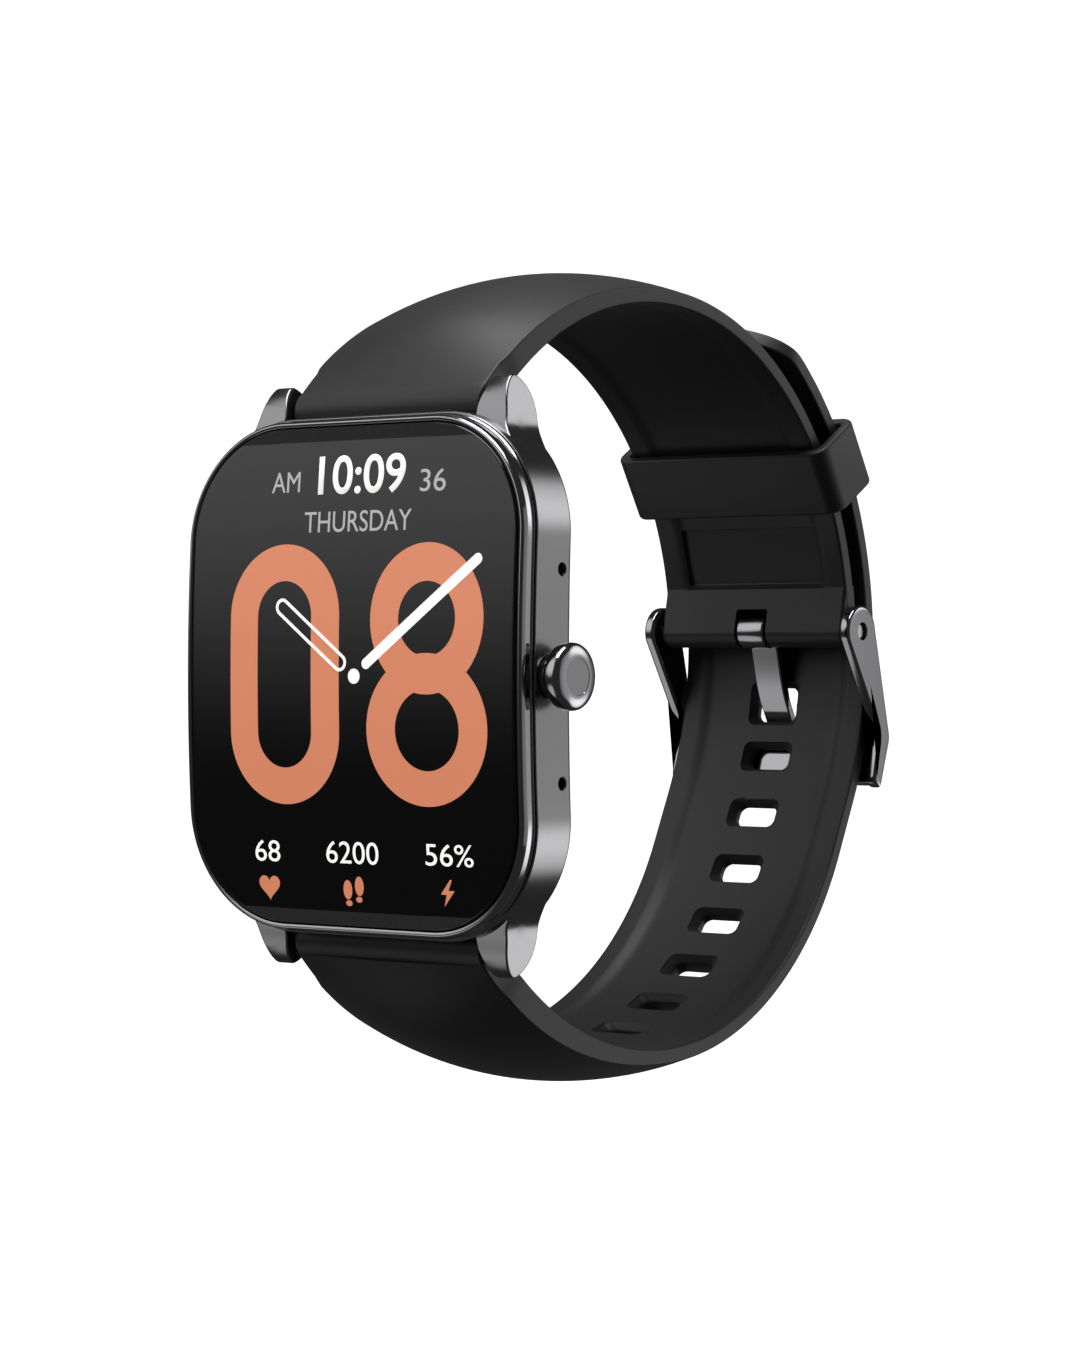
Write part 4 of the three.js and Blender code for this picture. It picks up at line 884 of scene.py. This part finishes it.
# %% Lens, cover and small hardware
lens_profile = [(-1.5, 11.9), (-1.45, 12.0), (-0.5, 12.0), (-0.38, 11.93), (-0.26, 11.7), (-0.15, 11.25),
                (-0.06, 10.6), (-0.015, 10.1), (0, 9.8), (0, 6)]
lens = body("sensor_lens_fine", turned(lens_profile, "Y", (0, 0), 128), sharp=50)
stands_for(lens, "sensor_lens", black_glass)
finer("back_cover", resin, 0.12)
for number in range(1, 5):
    finer(f"back_screw_{number}", steel)
for side in ("left", "right"):
    finer(f"charge_contact_{side}", gold, 0.06)
print("back made")

# %% [markdown]
# ## Stage, light and camera
# The backdrop is one pale sheet: a floor that sweeps up into a wall. It gives off an even light of its own
# but takes no part in reflections or shadows, so the metal mirrors only the lights. One wide softbox hangs
# above the watch, and a weak one stands on the crown side.

# %% Floor and backdrop
plain = bpy.data.materials.new("pale stage")
plain.use_nodes = True
for socket, value in (("Base Color", (0.9, 0.9, 0.9, 1)), ("Roughness", 0.9),
                      ("Emission Color", (1, 1, 1, 1)), ("Emission Strength", 1.0)):
    plain.node_tree.nodes["Principled BSDF"].inputs[socket].default_value = value
room_below = 0.09    # the opened lower half swings down past the lowest point of the closed loop
floor_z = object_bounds()[0][2] - room_below
floor_near, floor_far, bend_radius, wall_top, half_sheet = -3.0, 1.2, 0.8, 3.5, 4.0    # metres
bend = np.linspace(0, np.pi / 2, 12)
curve = np.stack([floor_far + bend_radius * np.sin(bend), bend_radius * (1 - np.cos(bend))], -1)
sweep = np.vstack([[floor_near, 0.0], curve, [floor_far + bend_radius, wall_top]])
count = len(sweep)
points = np.stack([np.broadcast_to(np.array([[-half_sheet], [half_sheet]]), (2, count)),
                   np.tile(sweep[:, 0], (2, 1)), floor_z + np.tile(sweep[:, 1], (2, 1))], -1)
faces = [(i, i + count, i + count + 1, i + 1) for i in range(count - 1)]
stage_mesh = bpy.data.meshes.new("stage")
stage_mesh.from_pydata(points.reshape(-1, 3).tolist(), [], faces)
stage_mesh.shade_smooth()
stage = bpy.data.objects.new("stage", stage_mesh)
stage.data.materials.append(plain)
bpy.context.scene.collection.objects.link(stage)
view_azimuth = 37.5
stage.rotation_euler[2] = np.radians(view_azimuth)
stage.visible_glossy = stage.visible_diffuse = stage.visible_shadow = False


# %% Lights
def softbox(name, place, target, size, power):
    data = bpy.data.lights.new(name, "AREA")
    data.shape, data.size, data.size_y, data.energy = "RECTANGLE", *size, power
    lamp = bpy.data.objects.new(name, data)
    lamp.location = place
    lamp.rotation_euler = (Vector(target) - Vector(place)).to_track_quat("-Z", "Y").to_euler()
    bpy.context.scene.collection.objects.link(lamp)


softbox("above", (0.0, -0.06, 0.5), (0, 0.02, 0), (0.4, 0.4), 3.0)
softbox("crown side", (0.45, 0.32, 0.0), (0.02, 0.0, 0), (0.5, 0.5), 0.25)


# %% [markdown]
# The rest of the studio is the world itself: soft round lights at chosen directions on a dark surround. They
# are what the metal and the glass mirror. Each is the cosine between a ray and the light's direction, taken
# through a smooth step, so its edge fades like a real softbox seen in blasted metal.

# %% Soft lights around the watch
world = bpy.data.worlds.new("studio")
world.use_nodes = True
nodes, links = world.node_tree.nodes, world.node_tree.links
ray = nodes.new("ShaderNodeTexCoord").outputs["Generated"]


def studio_math(operation, *inputs):
    node = nodes.new("ShaderNodeMath")
    node.operation = operation
    for socket, value in zip(node.inputs, inputs):
        if isinstance(value, (int, float)):
            socket.default_value = value
        else:
            links.new(value, socket)
    return node.outputs[0]


def glow(azimuth, height, half_angle, fade, strength):
    """Round light at an azimuth from +X and a height above the floor, in degrees: strength inside the half
    angle, falling smoothly to nothing over the fade angle."""
    a, h = np.radians([azimuth, height])
    dot = nodes.new("ShaderNodeVectorMath")
    dot.operation = "DOT_PRODUCT"
    links.new(ray, dot.inputs[0])
    dot.inputs[1].default_value = (np.cos(a) * np.cos(h), np.sin(a) * np.cos(h), np.sin(h))
    step = nodes.new("ShaderNodeMapRange")
    step.interpolation_type = "SMOOTHSTEP"
    step.inputs["From Min"].default_value = np.cos(np.radians(half_angle + fade))
    step.inputs["From Max"].default_value = np.cos(np.radians(half_angle))
    step.inputs["To Max"].default_value = strength
    links.new(dot.outputs["Value"], step.inputs["Value"])
    return step.outputs["Result"]


dark_surround = 0.05
total = studio_math("ADD", dark_surround, 0.0)
for azimuth, height, half_angle, fade, strength in (
    (57, 20, 7, 11, 1.95),      # crown side, above and below: the bright ends of the band
    (57, -20, 7, 11, 1.95),
    (52, 0, 12, 20, 0.31),      # crown side, level: the even grey of its middle
    (-130, 28, 11, 22, 1.3),    # in front, above: the sheen on the glass
    (-138, -38, 8, 14, 0.8),    # in front, below
):
    total = studio_math("ADD", total, glow(azimuth, height, half_angle, fade, strength))
background = nodes["Background"]
background.inputs["Color"].default_value = (1, 1, 1, 1)
links.new(total, background.inputs["Strength"])
bpy.context.scene.world = world
bpy.context.scene.view_settings.view_transform = "Standard"
print("studio lights in the world:", sum(node.type == "VECT_MATH" for node in nodes))

# %% Camera
# a long lens about 0.3 m away, aimed near the middle of the watch
camera_data = bpy.data.cameras.new("camera")
camera_data.lens = 93.6
camera = bpy.data.objects.new("camera", camera_data)
camera.location = (0.2005, -0.2443, 0.0013)
aim = Vector((0.0127, 0.0, 0.0001))
camera.rotation_euler = (aim - camera.location).to_track_quat("-Z", "Y").to_euler()
bpy.context.scene.collection.objects.link(camera)
bpy.context.scene.camera = camera
